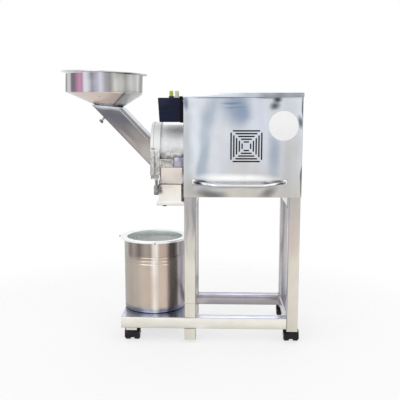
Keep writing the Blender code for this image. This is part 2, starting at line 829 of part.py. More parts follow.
adapter = turned(
    "chamber_adapter",
    [[
        (0.035, MOTOR_FRONT_X - SEAT),
        (SHIELD_FACE_RADIUS, MOTOR_FRONT_X - SEAT),
        (SHIELD_FACE_RADIUS, MOTOR_FRONT_X - 0.010),
        (0.060, MOTOR_FRONT_X - 0.010),
        (0.060, WALL_X + SEAT),
        (0.035, WALL_X + SEAT),
    ]],
    axis_place,
    "X",
    24,
    closed=True,
)
finish(adapter, "cast_steel")

# Grinding chamber body
chamber = turned(
    "chamber_body",
    [[
        (0.0, WALL_X),
        (BACK_FLANGE_RADIUS, WALL_X),
        (BACK_FLANGE_RADIUS, BACK_FLANGE_X),
        (BARREL_RADIUS, BACK_FLANGE_X),
        (BARREL_RADIUS, FLANGE_X),
        (FLANGE_RADIUS, FLANGE_X),
        (FLANGE_RADIUS, BODY_FACE_X),
        (0.0, BODY_FACE_X),
    ]],
    axis_place,
    "X",
    40,
)
hinge_place = (PARTING_X, HINGE_Y)


def knuckle(name, radius, low_z, high_z):
    return cylinder(name, (*hinge_place, (low_z + high_z) / 2), radius, high_z - low_z, "Z", 16)


def clamp_ears(y):
    """Two cheeks with a fused pin, hanging under the flange."""
    cheek_low = BOLT_EYE_WIDTH / 2 + BLOCK_STEP
    cheek_high = cheek_low + 0.005
    cheeks = [
        box(
            "clamp_cheek",
            (BODY_FACE_X + 2 * BLOCK_STEP, min(y + side * cheek_low, y + side * cheek_high), BOLT_Z - 0.008),
            (BOLT_X + 0.007, max(y + side * cheek_low, y + side * cheek_high), HINGE_BLOCK_Z[0] + 0.003),
        )
        for side in (-1, 1)
    ]
    pin = cylinder("clamp_pin", (BOLT_X, y, BOLT_Z), PIN_RADIUS, 2 * cheek_high - 0.002, "Y", 16)
    return [*cheeks, pin]


cut(
    chamber,
    box(
        "below_throat",
        (FLANGE_X - SEAT, AXIS_Y - 2 * BARREL_RADIUS, AXIS_Z - 2 * BARREL_RADIUS),
        (BACK_WALL_X + SEAT, AXIS_Y + 2 * BARREL_RADIUS, THROAT_Z),
    ),
)
throat_low = (THROAT_X[0], AXIS_Y - BARREL_RADIUS, THROAT_Z)
throat_high = (THROAT_X[1], AXIS_Y + BARREL_RADIUS, AXIS_Z - 0.010)
join(
    chamber,
    box("throat", throat_low, throat_high),
    box(
        "hinge_block",
        (BODY_FACE_X + BLOCK_STEP, HINGE_Y, HINGE_BLOCK_Z[0]),
        (FLANGE_X - BLOCK_STEP, HINGE_BLOCK_END_Y, HINGE_BLOCK_Z[1]),
    ),
    box(
        "rear_lug",
        (BODY_FACE_X + BLOCK_STEP, CLAMPS_Y["rear"] - 0.011, HINGE_BLOCK_Z[0]),
        (BOLT_X + 0.010, CLAMPS_Y["rear"] + 0.011, THROAT_Z),
    ),
    knuckle("lower_knuckle", KNUCKLE_RADIUS, HINGE_BLOCK_Z[0], HINGE_KNUCKLE_Z[0] - SEAT),
    knuckle("upper_knuckle", KNUCKLE_RADIUS, HINGE_KNUCKLE_Z[1] + SEAT, HINGE_BLOCK_Z[1]),
)
for y in CLAMPS_Y.values():
    join(chamber, *clamp_ears(y))
relief_radius = KNUCKLE_RADIUS + BLOCK_STEP
cut(
    chamber,
    box(
        "throat_bore",
        (throat_low[0] + 0.005, throat_low[1] + THROAT_WALL, THROAT_Z - 0.010),
        (BACK_WALL_X - 0.001, throat_high[1] - THROAT_WALL, AXIS_Z - 0.020),
    ),
    turned(
        "chamber_bore",
        [[
            (0.0, 0.010),
            (SHAFT_RADIUS + 0.001, 0.010),
            (SHAFT_RADIUS + 0.001, BACK_WALL_X),
            (BORE_RADIUS, BACK_WALL_X),
            (BORE_RADIUS, BODY_FACE_X - 0.010),
            (0.0, BODY_FACE_X - 0.010),
        ]],
        axis_place,
        "X",
        44,
    ),
    knuckle("door_knuckle_relief", relief_radius, HINGE_KNUCKLE_Z[0] - SEAT, HINGE_KNUCKLE_Z[1] + SEAT),
    knuckle("body_pin_bore", PIN_RADIUS + PIVOT_FIT, HINGE_BLOCK_Z[0] - 0.010, HINGE_BLOCK_Z[1] + 0.010),
)
finish(chamber, "cast_steel")

# Rotor, liner and sieve inside the chamber
rotor = turned(
    "rotor",
    [[
        (HUB_RADIUS + SEAT, -0.024),
        (0.058, -0.024),
        (0.058, -0.034),
        (0.022, -0.034),
        (0.020, -0.086),
        (HUB_RADIUS + SEAT, -0.086),
    ]],
    axis_place,
    "X",
    24,
    closed=True,
)
join(rotor, spokes("beaters", 6, (-0.088, -0.007, 0.046), (-0.027, 0.007, ROTOR_RADIUS), axis_place))
finish(rotor, "satin_steel")

half_grind = (GRIND_X[1] - GRIND_X[0]) / 2
grind_place = (sum(GRIND_X) / 2, AXIS_Y, AXIS_Z)
outer_arc = ring_points(LINER_RADIUS, 21, math.radians(91), math.radians(269), closed=False)
teeth = []
for i, (y, z) in enumerate(ring_points(1.0, 41, math.radians(269), math.radians(91), closed=False)):
    radius = 0.0745 if i % 2 else 0.0775
    teeth.append((radius * y, radius * z))
liner = extruded("liner", [outer_arc + teeth], half_grind, grind_place, "X")
finish(liner, "satin_steel")

sieve_arc = ring_points(LINER_RADIUS, 17, math.radians(-89), math.radians(89), closed=False)
sieve_inner = ring_points(LINER_RADIUS - SHEET, 17, math.radians(89), math.radians(-89), closed=False)
sieve = extruded("sieve", [sieve_arc + sieve_inner], half_grind, grind_place, "X")
finish(sieve, "satin_steel")

# Arm and its bracket
arm_low_x = FLANGE_X - BLOCK_STEP + SEAT
arm = box("chamber_arm", (arm_low_x, ARM_Y[0], ARM_Z[0]), (ARM_JOINT_X, ARM_Y[1], ARM_Z[1]))
for y in ARM_Y:
    cut(
        arm,
        box("arm_pocket", (arm_low_x + 0.006, y - 0.004, ARM_Z[0] + 0.006),
            (ARM_JOINT_X - 0.010, y + 0.004, ARM_Z[1] - 0.006)),
    )
round_edges(arm, SMALL_EDGE)
finish(arm, "cast_steel")

bracket = box(
    "arm_bracket",
    (ARM_JOINT_X + SEAT, BRACKET_Y[0], BRACKET_Z[0]),
    (WALL_X, BRACKET_Y[1], BRACKET_Z[1]),
)
round_edges(bracket, 0.003)
finish(bracket, "satin_steel")

# Door that carries the feed
door_frame = joint_frame("hinge_door", (*hinge_place, sum(HINGE_BLOCK_Z) / 2))
door = turned(
    "door",
    [[
        (0.0, SPIGOT_X),
        (SPIGOT_RADIUS, SPIGOT_X),
        (SPIGOT_RADIUS, DOOR_BACK_X),
        (FLANGE_RADIUS, DOOR_BACK_X),
        (FLANGE_RADIUS, DOOR_FACE_X),
        (0.0, DOOR_FACE_X),
    ]],
    axis_place,
    "X",
    40,
)
lug_x = (DOOR_FACE_X + BLOCK_STEP, DOOR_BACK_X - BLOCK_STEP / 2)
slot_half = BOLT_ROD_RADIUS + BLOCK_STEP
join(
    door,
    box(
        "door_hinge_block",
        (lug_x[0], HINGE_Y, HINGE_BLOCK_Z[0]),
        (lug_x[1], HINGE_BLOCK_END_Y, HINGE_BLOCK_Z[1]),
    ),
    box(
        "door_rear_lug",
        (lug_x[0], CLAMPS_Y["rear"] - 0.012, BOLT_Z - 0.006),
        (lug_x[1], CLAMPS_Y["rear"] + 0.012, THROAT_Z),
    ),
    box(
        "door_front_lug",
        (lug_x[0], CLAMPS_Y["front"] - 0.012, BOLT_Z - 0.006),
        (lug_x[1], CLAMPS_Y["front"] + 0.012, HINGE_BLOCK_Z[0] + 0.002),
    ),
    knuckle("door_knuckle", KNUCKLE_RADIUS, *HINGE_KNUCKLE_Z),
)
cut(
    door,
    knuckle("lower_relief", relief_radius, HINGE_BLOCK_Z[0] - 0.020, HINGE_KNUCKLE_Z[0]),
    knuckle("upper_relief", relief_radius, HINGE_KNUCKLE_Z[1], HINGE_BLOCK_Z[1] + 0.020),
    knuckle("door_pin_bore", PIN_RADIUS + PIVOT_FIT, HINGE_BLOCK_Z[0], HINGE_BLOCK_Z[1]),
    box(
        "feed_opening",
        (DOOR_FACE_X - 0.010, AXIS_Y - FEED_HALF_WIDTH, FEED_Z[0]),
        (SPIGOT_X + 0.010, AXIS_Y + FEED_HALF_WIDTH, FEED_Z[1]),
    ),
)
for y in CLAMPS_Y.values():
    cut(
        door,
        box(
            "clamp_slot",
            (DOOR_FACE_X - 0.010, y - slot_half, BOLT_Z - 0.020),
            (DOOR_BACK_X + 0.005, y + slot_half, BOLT_Z + slot_half),
        ),
    )
finish(door, "cast_steel")
carry(door, door_frame)

pin = turned(
    "hinge_pin",
    [[
        (0.0, HINGE_BLOCK_Z[1] + 0.004),
        (0.006, HINGE_BLOCK_Z[1] + 0.004),
        (0.006, HINGE_BLOCK_Z[1] + SEAT),
        (PIN_RADIUS, HINGE_BLOCK_Z[1] + SEAT),
        (PIN_RADIUS, HINGE_BLOCK_Z[0] - 0.002),
        (0.0, HINGE_BLOCK_Z[0] - 0.002),
    ]],
    (*hinge_place, 0.0),
    "Z",
    16,
)
finish(pin, "satin_steel")

# Swing bolts and their knobs, hanging released
for row, y in CLAMPS_Y.items():
    bolt_place = (BOLT_X, y, BOLT_Z)
    bolt = turned(
        f"swing_bolt_{row}",
        [[
            (0.0, -0.006),
            (BOLT_ROD_RADIUS, -0.006),
            (BOLT_ROD_RADIUS, -BOLT_SHOULDER),
            (BOLT_THREAD_RADIUS, -BOLT_SHOULDER),
            (BOLT_THREAD_RADIUS, -BOLT_LENGTH),
            (0.0, -BOLT_LENGTH),
        ]],
        bolt_place,
        "Z",
        16,
    )
    join(bolt, cylinder("bolt_eye", bolt_place, BOLT_EYE_RADIUS, BOLT_EYE_WIDTH, "Y"))
    cut(bolt, cylinder("eye_bore", bolt_place, PIN_RADIUS + PIVOT_FIT, 0.020, "Y"))
    finish(bolt, "satin_steel")
    knob_end = KNOB_TOP + KNOB_LENGTH
    knob = turned(
        f"clamp_knob_{row}",
        [[
            (0.0, -BOLT_LENGTH - SEAT),
            (BOLT_THREAD_RADIUS + SEAT, -BOLT_LENGTH - SEAT),
            (BOLT_THREAD_RADIUS + SEAT, -KNOB_TOP),
            (0.0070, -KNOB_TOP),
            (KNOB_RADIUS, -KNOB_TOP - 0.006),
            (KNOB_RADIUS, -knob_end + 0.002),
            (KNOB_RADIUS - 0.002, -knob_end),
            (0.0, -knob_end),
        ]],
        bolt_place,
        "Z",
        20,
    )
    finish(knob, "satin_steel")
    swing = joint_frame(f"swing_{row}", bolt_place)
    spin = joint_frame(f"spin_{row}", (BOLT_X, y, BOLT_Z - KNOB_TOP), swing)
    carry(bolt, swing)
    carry(knob, spin)


# Discharge duct, lofted through three levels
def square_loft(name, levels, half_widths):
    """Open duct through rectangles given as (low x, high x, z) from the top down."""
    verts = []
    for (low_x, high_x, z), half in zip(levels, half_widths):
        for x, y in ((low_x, -half), (high_x, -half), (high_x, half), (low_x, half)):
            verts.append((x, AXIS_Y + y, z))
    faces = []
    for level in range(len(levels) - 1):
        for i in range(4):
            after = (i + 1) % 4
            top = 4 * level
            faces.append((top + i, top + 4 + i, top + 4 + after, top + after))
    mesh = bpy.data.meshes.new(name)
    mesh.from_pydata(verts, [], faces)
    return add_object(name, mesh)


collar_z = THROAT_Z - DUCT_COLLAR
knee_share = (collar_z - DUCT_KNEE_Z) / (collar_z - DUCT_BOTTOM_Z)
duct = square_loft(
    "discharge_duct",
    [
        (*DUCT_TOP_X, THROAT_Z - SEAT),
        (*DUCT_TOP_X, collar_z),
        (*DUCT_TOP_X, DUCT_KNEE_Z),
        (*DUCT_BOTTOM_X, DUCT_BOTTOM_Z),
    ],
    [
        DUCT_TOP_HALF_Y,
        DUCT_TOP_HALF_Y,
        DUCT_TOP_HALF_Y + knee_share * (DUCT_BOTTOM_HALF_Y - DUCT_TOP_HALF_Y),
        DUCT_BOTTOM_HALF_Y,
    ],
)
thicken(duct, 0.002)
cut(
    duct,
    cylinder("front_notch", (DUCT_TOP_X[0], AXIS_Y, AXIS_Z), BORE_RADIUS, 0.020, "X", 40),
    cylinder("rear_notch", (DUCT_TOP_X[1], AXIS_Y, AXIS_Z), BARREL_RADIUS + SEAT, 0.022, "X", 40),
)
finish(duct, "polished_steel")

sleeve_low = (SLEEVE_X[0], AXIS_Y - SLEEVE_HALF_Y, SLEEVE_Z[0])
sleeve_high = (SLEEVE_X[1], AXIS_Y + SLEEVE_HALF_Y, SLEEVE_Z[1])
sleeve = box("discharge_sleeve", sleeve_low, sleeve_high)
join(
    sleeve,
    box(
        "sleeve_flange",
        (sleeve_low[0] - SLEEVE_FLANGE, sleeve_low[1] - SLEEVE_FLANGE, sleeve_low[2] + SEAT),
        (
            sleeve_high[0] + SLEEVE_FLANGE - 0.002,
            sleeve_high[1] + SLEEVE_FLANGE,
            sleeve_low[2] + SLEEVE_FLANGE_HEIGHT,
        ),
    ),
)
cut(
    sleeve,
    box(
        "sleeve_bore",
        (sleeve_low[0] + SHEET, sleeve_low[1] + SHEET, sleeve_low[2] - 0.010),
        (sleeve_high[0] - SHEET, sleeve_high[1] - SHEET, sleeve_high[2] + 0.010),
    ),
)
finish(sleeve, "polished_steel")

# Feed chute
upper_left = Vector((CHUTE_UPPER_LEFT[0], 0.0, CHUTE_UPPER_LEFT[1]))
upper_right = Vector((CHUTE_UPPER_RIGHT[0], 0.0, CHUTE_UPPER_RIGHT[1]))
lower_left = Vector((CHUTE_END_X, 0.0, CHUTE_LOWER_LEFT_Z))
lower_right = Vector((CHUTE_END_X, 0.0, CHUTE_LOWER_RIGHT_Z))
slope = math.atan2(upper_left.z - lower_left.z, lower_left.x - upper_left.x)
down_slope = (lower_left - upper_left).normalized()
cover_slope = (lower_right - upper_right).normalized()
cover_normal = Vector((-cover_slope.z, 0.0, cover_slope.x))


def slanted_box(name, corners, half_width):
    """Box whose X-Z corners (low left, low right, high right, high left) are moved to given places."""
    piece = box(name, (-1.0, -half_width, -1.0), (1.0, half_width, 1.0))
    for vert in piece.data.vertices:
        index = (1 if vert.co.x > 0 else 0) if vert.co.z < 0 else (2 if vert.co.x > 0 else 3)
        vert.co.x = corners[index].x
        vert.co.z = corners[index].z
    piece.location.y = AXIS_Y
    return piece


def face_direction(start, end):
    """Outward direction of the X-Z side that runs from start to end, anticlockwise seen from the front."""
    along = (end - start).normalized()
    return (along.z, 0.0, -along.x)


chute_corners = (
    lower_left + down_slope * TRIM,
    lower_right + cover_slope * TRIM,
    upper_right - cover_slope * TRIM,
    upper_left - down_slope * TRIM,
)
chute = slanted_box("chute", chute_corners, CHUTE_HALF_WIDTH)
remove_faces(
    chute,
    face_direction(chute_corners[0], chute_corners[1]),
    face_direction(chute_corners[1], chute_corners[2]),
    face_direction(chute_corners[2], chute_corners[3]),
)
thicken(chute, SHEET)
mouth_angle = math.atan2(upper_left.z - upper_right.z, upper_right.x - upper_left.x)
mouth_trim = box("mouth_trim", (-4 * TRIM, -6 * TRIM, 0.0), (16 * TRIM, 6 * TRIM, 4 * TRIM))
tilt_onto(mouth_trim, (upper_left.x, AXIS_Y, upper_left.z), mouth_angle)
outlet_trim = box(
    "outlet_trim",
    (CHUTE_END_X, AXIS_Y - 6 * TRIM, lower_left.z - 4 * TRIM),
    (CHUTE_END_X + 4 * TRIM, AXIS_Y + 6 * TRIM, lower_right.z + 4 * TRIM),
)
cut(chute, mouth_trim, outlet_trim)
gate_place = upper_left + down_slope * GATE_ALONG
gate_place.y = AXIS_Y


def gate_box(name, low, high):
    piece = box(name, low, high)
    tilt_onto(piece, gate_place, slope)
    return piece


gate_half = GATE_GAUGE / 2
cut(
    chute,
    gate_box(
        "gate_slot",
        (-gate_half - 2 * SEAT, -GATE_HALF_WIDTH - 2 * SEAT, -0.004),
        (gate_half + 2 * SEAT, GATE_HALF_WIDTH + 2 * SEAT, 0.005),
    ),
)
finish(chute, "polished_steel")
carry(chute, door_frame)

cover_top = upper_right + cover_normal * (SEAT + SHEET)
cover_end = cover_top + cover_slope * COVER_LENGTH
lip_drop = cover_normal * (SEAT + SHEET + COVER_LIP)
cover = slanted_box(
    "chute_cover",
    (cover_top - lip_drop, cover_end - lip_drop, cover_end, cover_top),
    CHUTE_HALF_WIDTH + SEAT + SHEET,
)
remove_faces(cover, tuple(-cover_normal), tuple(cover_slope), tuple(-cover_slope))
thicken(cover, SHEET)
finish(cover, "polished_steel")
carry(cover, door_frame)

# Feed gate: plate, stem and knob on one slide across the chute
gate = gate_box(
    "feed_gate",
    (-gate_half, -GATE_HALF_WIDTH, -GATE_OUTSIDE),
    (gate_half, GATE_HALF_WIDTH, GATE_DEPTH),
)
stem = cylinder("gate_stem", (0.0, 0.0, -(GATE_STEM + GATE_OUTSIDE - 0.001) / 2), GATE_STEM_RADIUS,
                GATE_STEM - GATE_OUTSIDE + 0.001, "Z", 12)
tilt_onto(stem, gate_place, slope)
join(gate, stem)
finish(gate, "satin_steel")
gate_knob = turned(
    "gate_knob",
    [[
        (0.0, -GATE_STEM - SEAT),
        (GATE_KNOB_RADIUS - 0.001, -GATE_STEM - SEAT),
        (GATE_KNOB_RADIUS, -GATE_STEM - 0.0015),
        (GATE_KNOB_RADIUS, -GATE_STEM - GATE_KNOB_HEIGHT + 0.0015),
        (GATE_KNOB_RADIUS - 0.0015, -GATE_STEM - GATE_KNOB_HEIGHT),
        (0.0, -GATE_STEM - GATE_KNOB_HEIGHT),
    ]],
    (0.0, 0.0, 0.0),
    "Z",
    20,
)
tilt_onto(gate_knob, gate_place, slope)
finish(gate_knob, "black_plastic")
gate_slide = joint_frame("slide_gate", gate_place, door_frame)
carry(gate, gate_slide)
carry(gate_knob, gate_slide)

# Hopper: turned shell whose outlet is drawn onto the mouth of the chute
hopper_place = Vector((HOPPER_X, AXIS_Y, HOPPER_Z))
hopper = turned(
    "hopper",
    [[
        (HOPPER_RIM_RADIUS, HOPPER_RIM_Z + HOPPER_LIP),
        (HOPPER_RIM_RADIUS, HOPPER_RIM_Z),
        (HOPPER_RADIUS, HOPPER_RIM_Z),
        (HOPPER_RADIUS, HOPPER_CONE_HEIGHT),
        (OUTLET_HALF_X, 0.0),
    ]],
    (0.0, 0.0, 0.0),
    "Z",
    48,
)
bake(hopper)
lean_back = Matrix.Rotation(-HOPPER_TILT, 3, "Y")
mouth_slope = (upper_right.z - upper_left.z) / (upper_right.x - upper_left.x)
for vert in hopper.data.vertices:
    if vert.co.z < 0.001:
        x = OUTLET_X + vert.co.x
        y = AXIS_Y + vert.co.y * OUTLET_HALF_Y / OUTLET_HALF_X
        z = upper_left.z + (x - upper_left.x) * mouth_slope + SEAT
        vert.co = lean_back @ (Vector((x, y, z)) - hopper_place)
thicken(hopper, HOPPER_GAUGE)
tilt_onto(hopper, hopper_place, HOPPER_TILT)
finish(hopper, "polished_steel")
carry(hopper, door_frame)

# Collecting drum and its collar
drum_rim_z = COLLAR_TOP - SHEET - SEAT
drum_inner = DRUM_RADIUS - DRUM_GAUGE - GROOVE_DEPTH
profile = [
    (0.0, DRUM_BASE_Z + DRUM_GAUGE),
    (drum_inner, DRUM_BASE_Z + DRUM_GAUGE),
    (drum_inner, drum_rim_z),
    (DRUM_RADIUS, drum_rim_z),
]
for z in DRUM_GROOVES_Z:
    profile.append((DRUM_RADIUS, z + GROOVE_HALF_WIDTH))
    profile.append((DRUM_RADIUS - GROOVE_DEPTH, z))
    profile.append((DRUM_RADIUS, z - GROOVE_HALF_WIDTH))
profile.append((DRUM_RADIUS, DRUM_BASE_Z + DRUM_BASE_EDGE))
profile.append((DRUM_RADIUS - DRUM_BASE_EDGE, DRUM_BASE_Z))
profile.append((0.0, DRUM_BASE_Z))
drum = turned("drum_body", [profile], (DRUM_X, DRUM_Y, 0.0), "Z", 40)
finish(drum, "polished_steel")

collar = turned(
    "drum_collar",
    [[
        (COLLAR_RADIUS, COLLAR_TOP),
        (COLLAR_RADIUS, COLLAR_TOP - COLLAR_LIP),
        (COLLAR_RADIUS - SHEET, COLLAR_TOP - COLLAR_LIP),
        (COLLAR_RADIUS - SHEET, COLLAR_TOP - SHEET),
        (COLLAR_INNER_RADIUS + SHEET, COLLAR_TOP - SHEET),
        (COLLAR_INNER_RADIUS + SHEET, COLLAR_TOP - COLLAR_BAND),
        (COLLAR_INNER_RADIUS, COLLAR_TOP - COLLAR_BAND),
        (COLLAR_INNER_RADIUS, COLLAR_TOP),
    ]],
    (DRUM_X, DRUM_Y, 0.0),
    "Z",
    40,
    closed=True,
)
finish(collar, "spun_aluminium")
drum_slide = joint_frame("slide_drum", (DRUM_X, DRUM_Y, DRUM_BASE_Z))
carry(drum, drum_slide)
carry(collar, drum_slide)

# Starter box and its buttons
starter = box("starter_box", (STARTER_LEFT, STARTER_Y[0], STARTER_Z[0]), (WALL_X, STARTER_Y[1], STARTER_Z[1]))
for vert in starter.data.vertices:
    if vert.co.x < 0 and vert.co.z < 0:
        vert.co.x += STARTER_TAPER
round_edges(starter, 0.003, 2)
bore_radius = BUTTON_RADIUS + SEAT
bore_z = STARTER_Z[1] - BUTTON_TRAVEL - SEAT
for side, x in BUTTONS_X.items():
    bezel_middle = (x, BUTTON_Y, (STARTER_Z[1] - 0.001 + BEZEL_TOP) / 2)
    join(starter, cylinder("bezel", bezel_middle, BEZEL_RADIUS, BEZEL_TOP - STARTER_Z[1] + 0.001, "Z", 20))
    bore_middle = (x, BUTTON_Y, bore_z + 0.010)
    cut(starter, cylinder("button_bore", bore_middle, bore_radius, 0.020, "Z", 20))
    button = turned(
        f"{side}_button",
        [[
            (0.0, BUTTON_TOP),
            (BUTTON_RADIUS - 0.002, BUTTON_TOP - 0.0003),
            (BUTTON_RADIUS, BUTTON_TOP - 0.002),
            (BUTTON_RADIUS, STARTER_Z[1]),
            (0.0, STARTER_Z[1]),
        ]],
        (x, BUTTON_Y, 0.0),
        "Z",
        20,
    )
    finish(button, f"{side}_plastic")
    carry(button, joint_frame(f"press_{side}", (x, BUTTON_Y, BUTTON_TOP)))
finish(starter, "starter_case")
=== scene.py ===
# %% [markdown]
# # Dressing a spice pulverizer
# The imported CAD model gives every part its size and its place. This lesson gives the parts their
# finish: polished sheet, square tube, castings, moulded plastic, and the small things that a
# fabricator adds, such as weld beads, screws and rolled rims.
# The machine is nearly all polished stainless steel. In a white room such steel shows soft bands
# and patches of grey rather than one colour, so most of the work goes into its finish.

import json
import math

import bmesh
import bpy
from mathutils import Matrix, Vector


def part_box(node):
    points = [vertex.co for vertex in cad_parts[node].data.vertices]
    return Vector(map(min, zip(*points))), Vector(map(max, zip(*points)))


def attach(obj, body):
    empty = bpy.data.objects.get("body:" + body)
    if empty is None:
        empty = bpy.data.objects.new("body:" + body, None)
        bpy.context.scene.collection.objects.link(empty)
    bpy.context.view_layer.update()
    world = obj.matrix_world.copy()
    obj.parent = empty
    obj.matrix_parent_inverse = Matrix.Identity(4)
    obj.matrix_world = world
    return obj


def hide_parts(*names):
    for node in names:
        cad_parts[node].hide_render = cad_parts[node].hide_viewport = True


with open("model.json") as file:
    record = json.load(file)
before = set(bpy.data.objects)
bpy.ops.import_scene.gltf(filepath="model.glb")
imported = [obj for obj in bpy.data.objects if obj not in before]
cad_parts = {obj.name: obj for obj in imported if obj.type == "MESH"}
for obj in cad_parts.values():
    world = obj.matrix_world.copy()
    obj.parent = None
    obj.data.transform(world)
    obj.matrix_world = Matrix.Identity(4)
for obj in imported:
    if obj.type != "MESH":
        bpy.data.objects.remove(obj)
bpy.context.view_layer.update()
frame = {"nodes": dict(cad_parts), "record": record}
nodes = frame["nodes"]
body_of_node = {
    node: body
    for body, members in frame["record"]["behaviour"]["bodies"].items()
    for node in members
}

# %% [markdown]
# All sizes below are millimetres from the stand's corner: X 0 is the left face of the left legs,
# Y 0 the front face of the front legs, and the floor is Z 0. One function moves them to where the
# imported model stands.

# %% Places in millimetres
MM = 0.001
stand_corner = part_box("leg_front_left")[0]


def at(x, y, z):
    """Place in the model, in metres, of a point given in millimetres from the stand's corner."""
    return Vector((stand_corner.x + x * MM, stand_corner.y + y * MM, z * MM))


print("the stand's corner is at", [round(c, 4) for c in stand_corner])

# %% [markdown]
# ## Camera
# The camera stands a little over two metres away, to the right of the middle and just below the
# lid's height, and looks slightly down. It could be placed by eye. Here its place, turn and lens
# were fitted to the corners of the stand and the cabinet, so that edges fall where they should.

# %% Camera
CAMERA_AT = (123.5, -2112.2, 824.0)
CAMERA_TILT = math.radians(81.712)
CAMERA_PAN = math.radians(1.849)
camera_data = bpy.data.cameras.new("camera")
camera_data.lens = 55.56
camera_data.sensor_width = 36.0
camera = bpy.data.objects.new("camera", camera_data)
camera.location = at(*CAMERA_AT)
camera.rotation_euler = (CAMERA_TILT, 0.0, CAMERA_PAN)
bpy.context.scene.collection.objects.link(camera)
bpy.context.scene.camera = camera
bpy.context.scene.view_settings.view_transform = "Standard"
print("camera at", [round(c, 3) for c in camera.location])

# %% [markdown]
# ## One function for nodes, one for colours
# Every material below is built from the same two helpers: one adds a node with its settings and
# links, the other turns a colour as a screen shows it into the linear light that shading needs.

# %% Node and colour helpers


def add(tree, kind, inputs=None, **settings):
    """Adds one node: an input given as a socket is linked, any other value is set."""
    node = tree.nodes.new(kind)
    for name, value in settings.items():
        setattr(node, name, value)
    for key, value in (inputs or {}).items():
        if isinstance(value, bpy.types.NodeSocket):
            tree.links.new(value, node.inputs[key])
        else:
            node.inputs[key].default_value = value
    return node


def tint(hex_code):
    """Linear colour of a six-figure sRGB code."""
    channels = [int(hex_code[i:i + 2], 16) / 255 for i in (0, 2, 4)]
    linear = [c / 12.92 if c <= 0.04045 else ((c + 0.055) / 1.055) ** 2.4 for c in channels]
    return (*linear, 1.0)


def new_material(name):
    """Empty material with its shader and output joined."""
    material = bpy.data.materials.new(name)
    material.use_nodes = True
    tree = material.node_tree
    tree.nodes.clear()
    shader = add(tree, "ShaderNodeBsdfPrincipled")
    add(tree, "ShaderNodeOutputMaterial", {"Surface": shader.outputs["BSDF"]})
    return material, tree, shader


print("mid grey 808080 is", round(tint("808080")[0], 3), "in linear light")

# %% [markdown]
# ## Light
# Steel shows what is around it, so the room matters more than the lamps do. A real studio hangs
# white cloth all round. Here the world is white for the camera and for rays that bounce off gloss,
# and a little darker for all other rays, so the steel mirrors a white room while shadows stay soft.
# Three wide round lamps then set the faces of the machine apart.

# %% World and lamps
ROOM_LIGHT = 0.72
LAMP_AIM = (180, 160, 480)
LAMPS = {
    "key": ((-1500, -2300, 2300), 2.6, 24.0),
    "fill": ((2300, -1500, 1500), 2.2, 9.0),
    "back": ((300, 2400, 2200), 2.4, 10.0),
}
world = bpy.data.worlds.new("studio")
bpy.context.scene.world = world
world.use_nodes = True
sky = world.node_tree
sky.nodes.clear()
ray = add(sky, "ShaderNodeLightPath")
mirrored = add(sky, "ShaderNodeMath", {0: ray.outputs["Is Camera Ray"], 1: ray.outputs["Is Glossy Ray"]},
               operation="ADD")
seen = add(sky, "ShaderNodeMath", {0: mirrored.outputs[0], 1: ray.outputs["Is Transmission Ray"]},
           operation="ADD", use_clamp=True)
room = add(sky, "ShaderNodeMapRange", {"Value": seen.outputs[0], "To Min": ROOM_LIGHT, "To Max": 1.0})
glow = add(sky, "ShaderNodeBackground", {"Color": (1.0, 1.0, 1.0, 1.0), "Strength": room.outputs[0]})
add(sky, "ShaderNodeOutputWorld", {"Surface": glow.outputs[0]})

for name, (place, width, power) in LAMPS.items():
    lamp_data = bpy.data.lights.new(f"{name}_lamp", "AREA")
    lamp_data.shape = "DISK"
    lamp_data.size = width
    lamp_data.energy = power
    lamp = bpy.data.objects.new(f"{name}_lamp", lamp_data)
    lamp.location = at(*place)
    lamp.rotation_euler = (at(*LAMP_AIM) - lamp.location).to_track_quat("-Z", "Y").to_euler()
    bpy.context.scene.collection.objects.link(lamp)
print("lamps:", ", ".join(LAMPS))

# %% [markdown]
# ## Floor
# The machine stands on pale paper. A large plane would end in a horizon, so the floor is a disc
# that turns clear well before its edge. What is left of it carries only the soft shadow.

# %% Floor
FLOOR_RADIUS = 2.4
FADE_FROM, FADE_TO = 0.7, 1.35
FLOOR_CLEARNESS = 0.7
floor_mesh = bpy.data.meshes.new("floor")
bm = bmesh.new()
bmesh.ops.create_circle(bm, cap_ends=True, radius=FLOOR_RADIUS, segments=96)
bm.to_mesh(floor_mesh)
bm.free()
floor = bpy.data.objects.new("floor", floor_mesh)
bpy.context.scene.collection.objects.link(floor)

floor_paint = bpy.data.materials.new("pale_floor_paper")
floor_paint.use_nodes = True
paper = floor_paint.node_tree
paper.nodes.clear()
floor_spot = add(paper, "ShaderNodeTexCoord").outputs["Object"]
far = add(paper, "ShaderNodeVectorMath", {0: floor_spot}, operation="LENGTH")
fade = add(paper, "ShaderNodeMapRange",
           {"Value": far.outputs["Value"], "From Min": FADE_FROM, "From Max": FADE_TO},
           interpolation_type="SMOOTHSTEP")
fibre = add(paper, "ShaderNodeTexNoise", {"Vector": floor_spot, "Scale": 35.0, "Detail": 4.0})
shade = add(paper, "ShaderNodeMapRange", {"Value": fibre.outputs["Fac"], "To Min": 0.97, "To Max": 1.0})
matt = add(paper, "ShaderNodeBsdfDiffuse", {"Color": shade.outputs[0]})
clear = add(paper, "ShaderNodeBsdfTransparent")
thin = add(paper, "ShaderNodeMapRange", {"Value": fade.outputs[0], "To Min": FLOOR_CLEARNESS, "To Max": 1.0})
blend = add(paper, "ShaderNodeMixShader", {0: thin.outputs[0], 1: matt.outputs[0], 2: clear.outputs[0]})
add(paper, "ShaderNodeOutputMaterial", {"Surface": blend.outputs[0]})
floor_mesh.materials.append(floor_paint)
print("floor radius", FLOOR_RADIUS, "m, faded out from", FADE_FROM, "m")

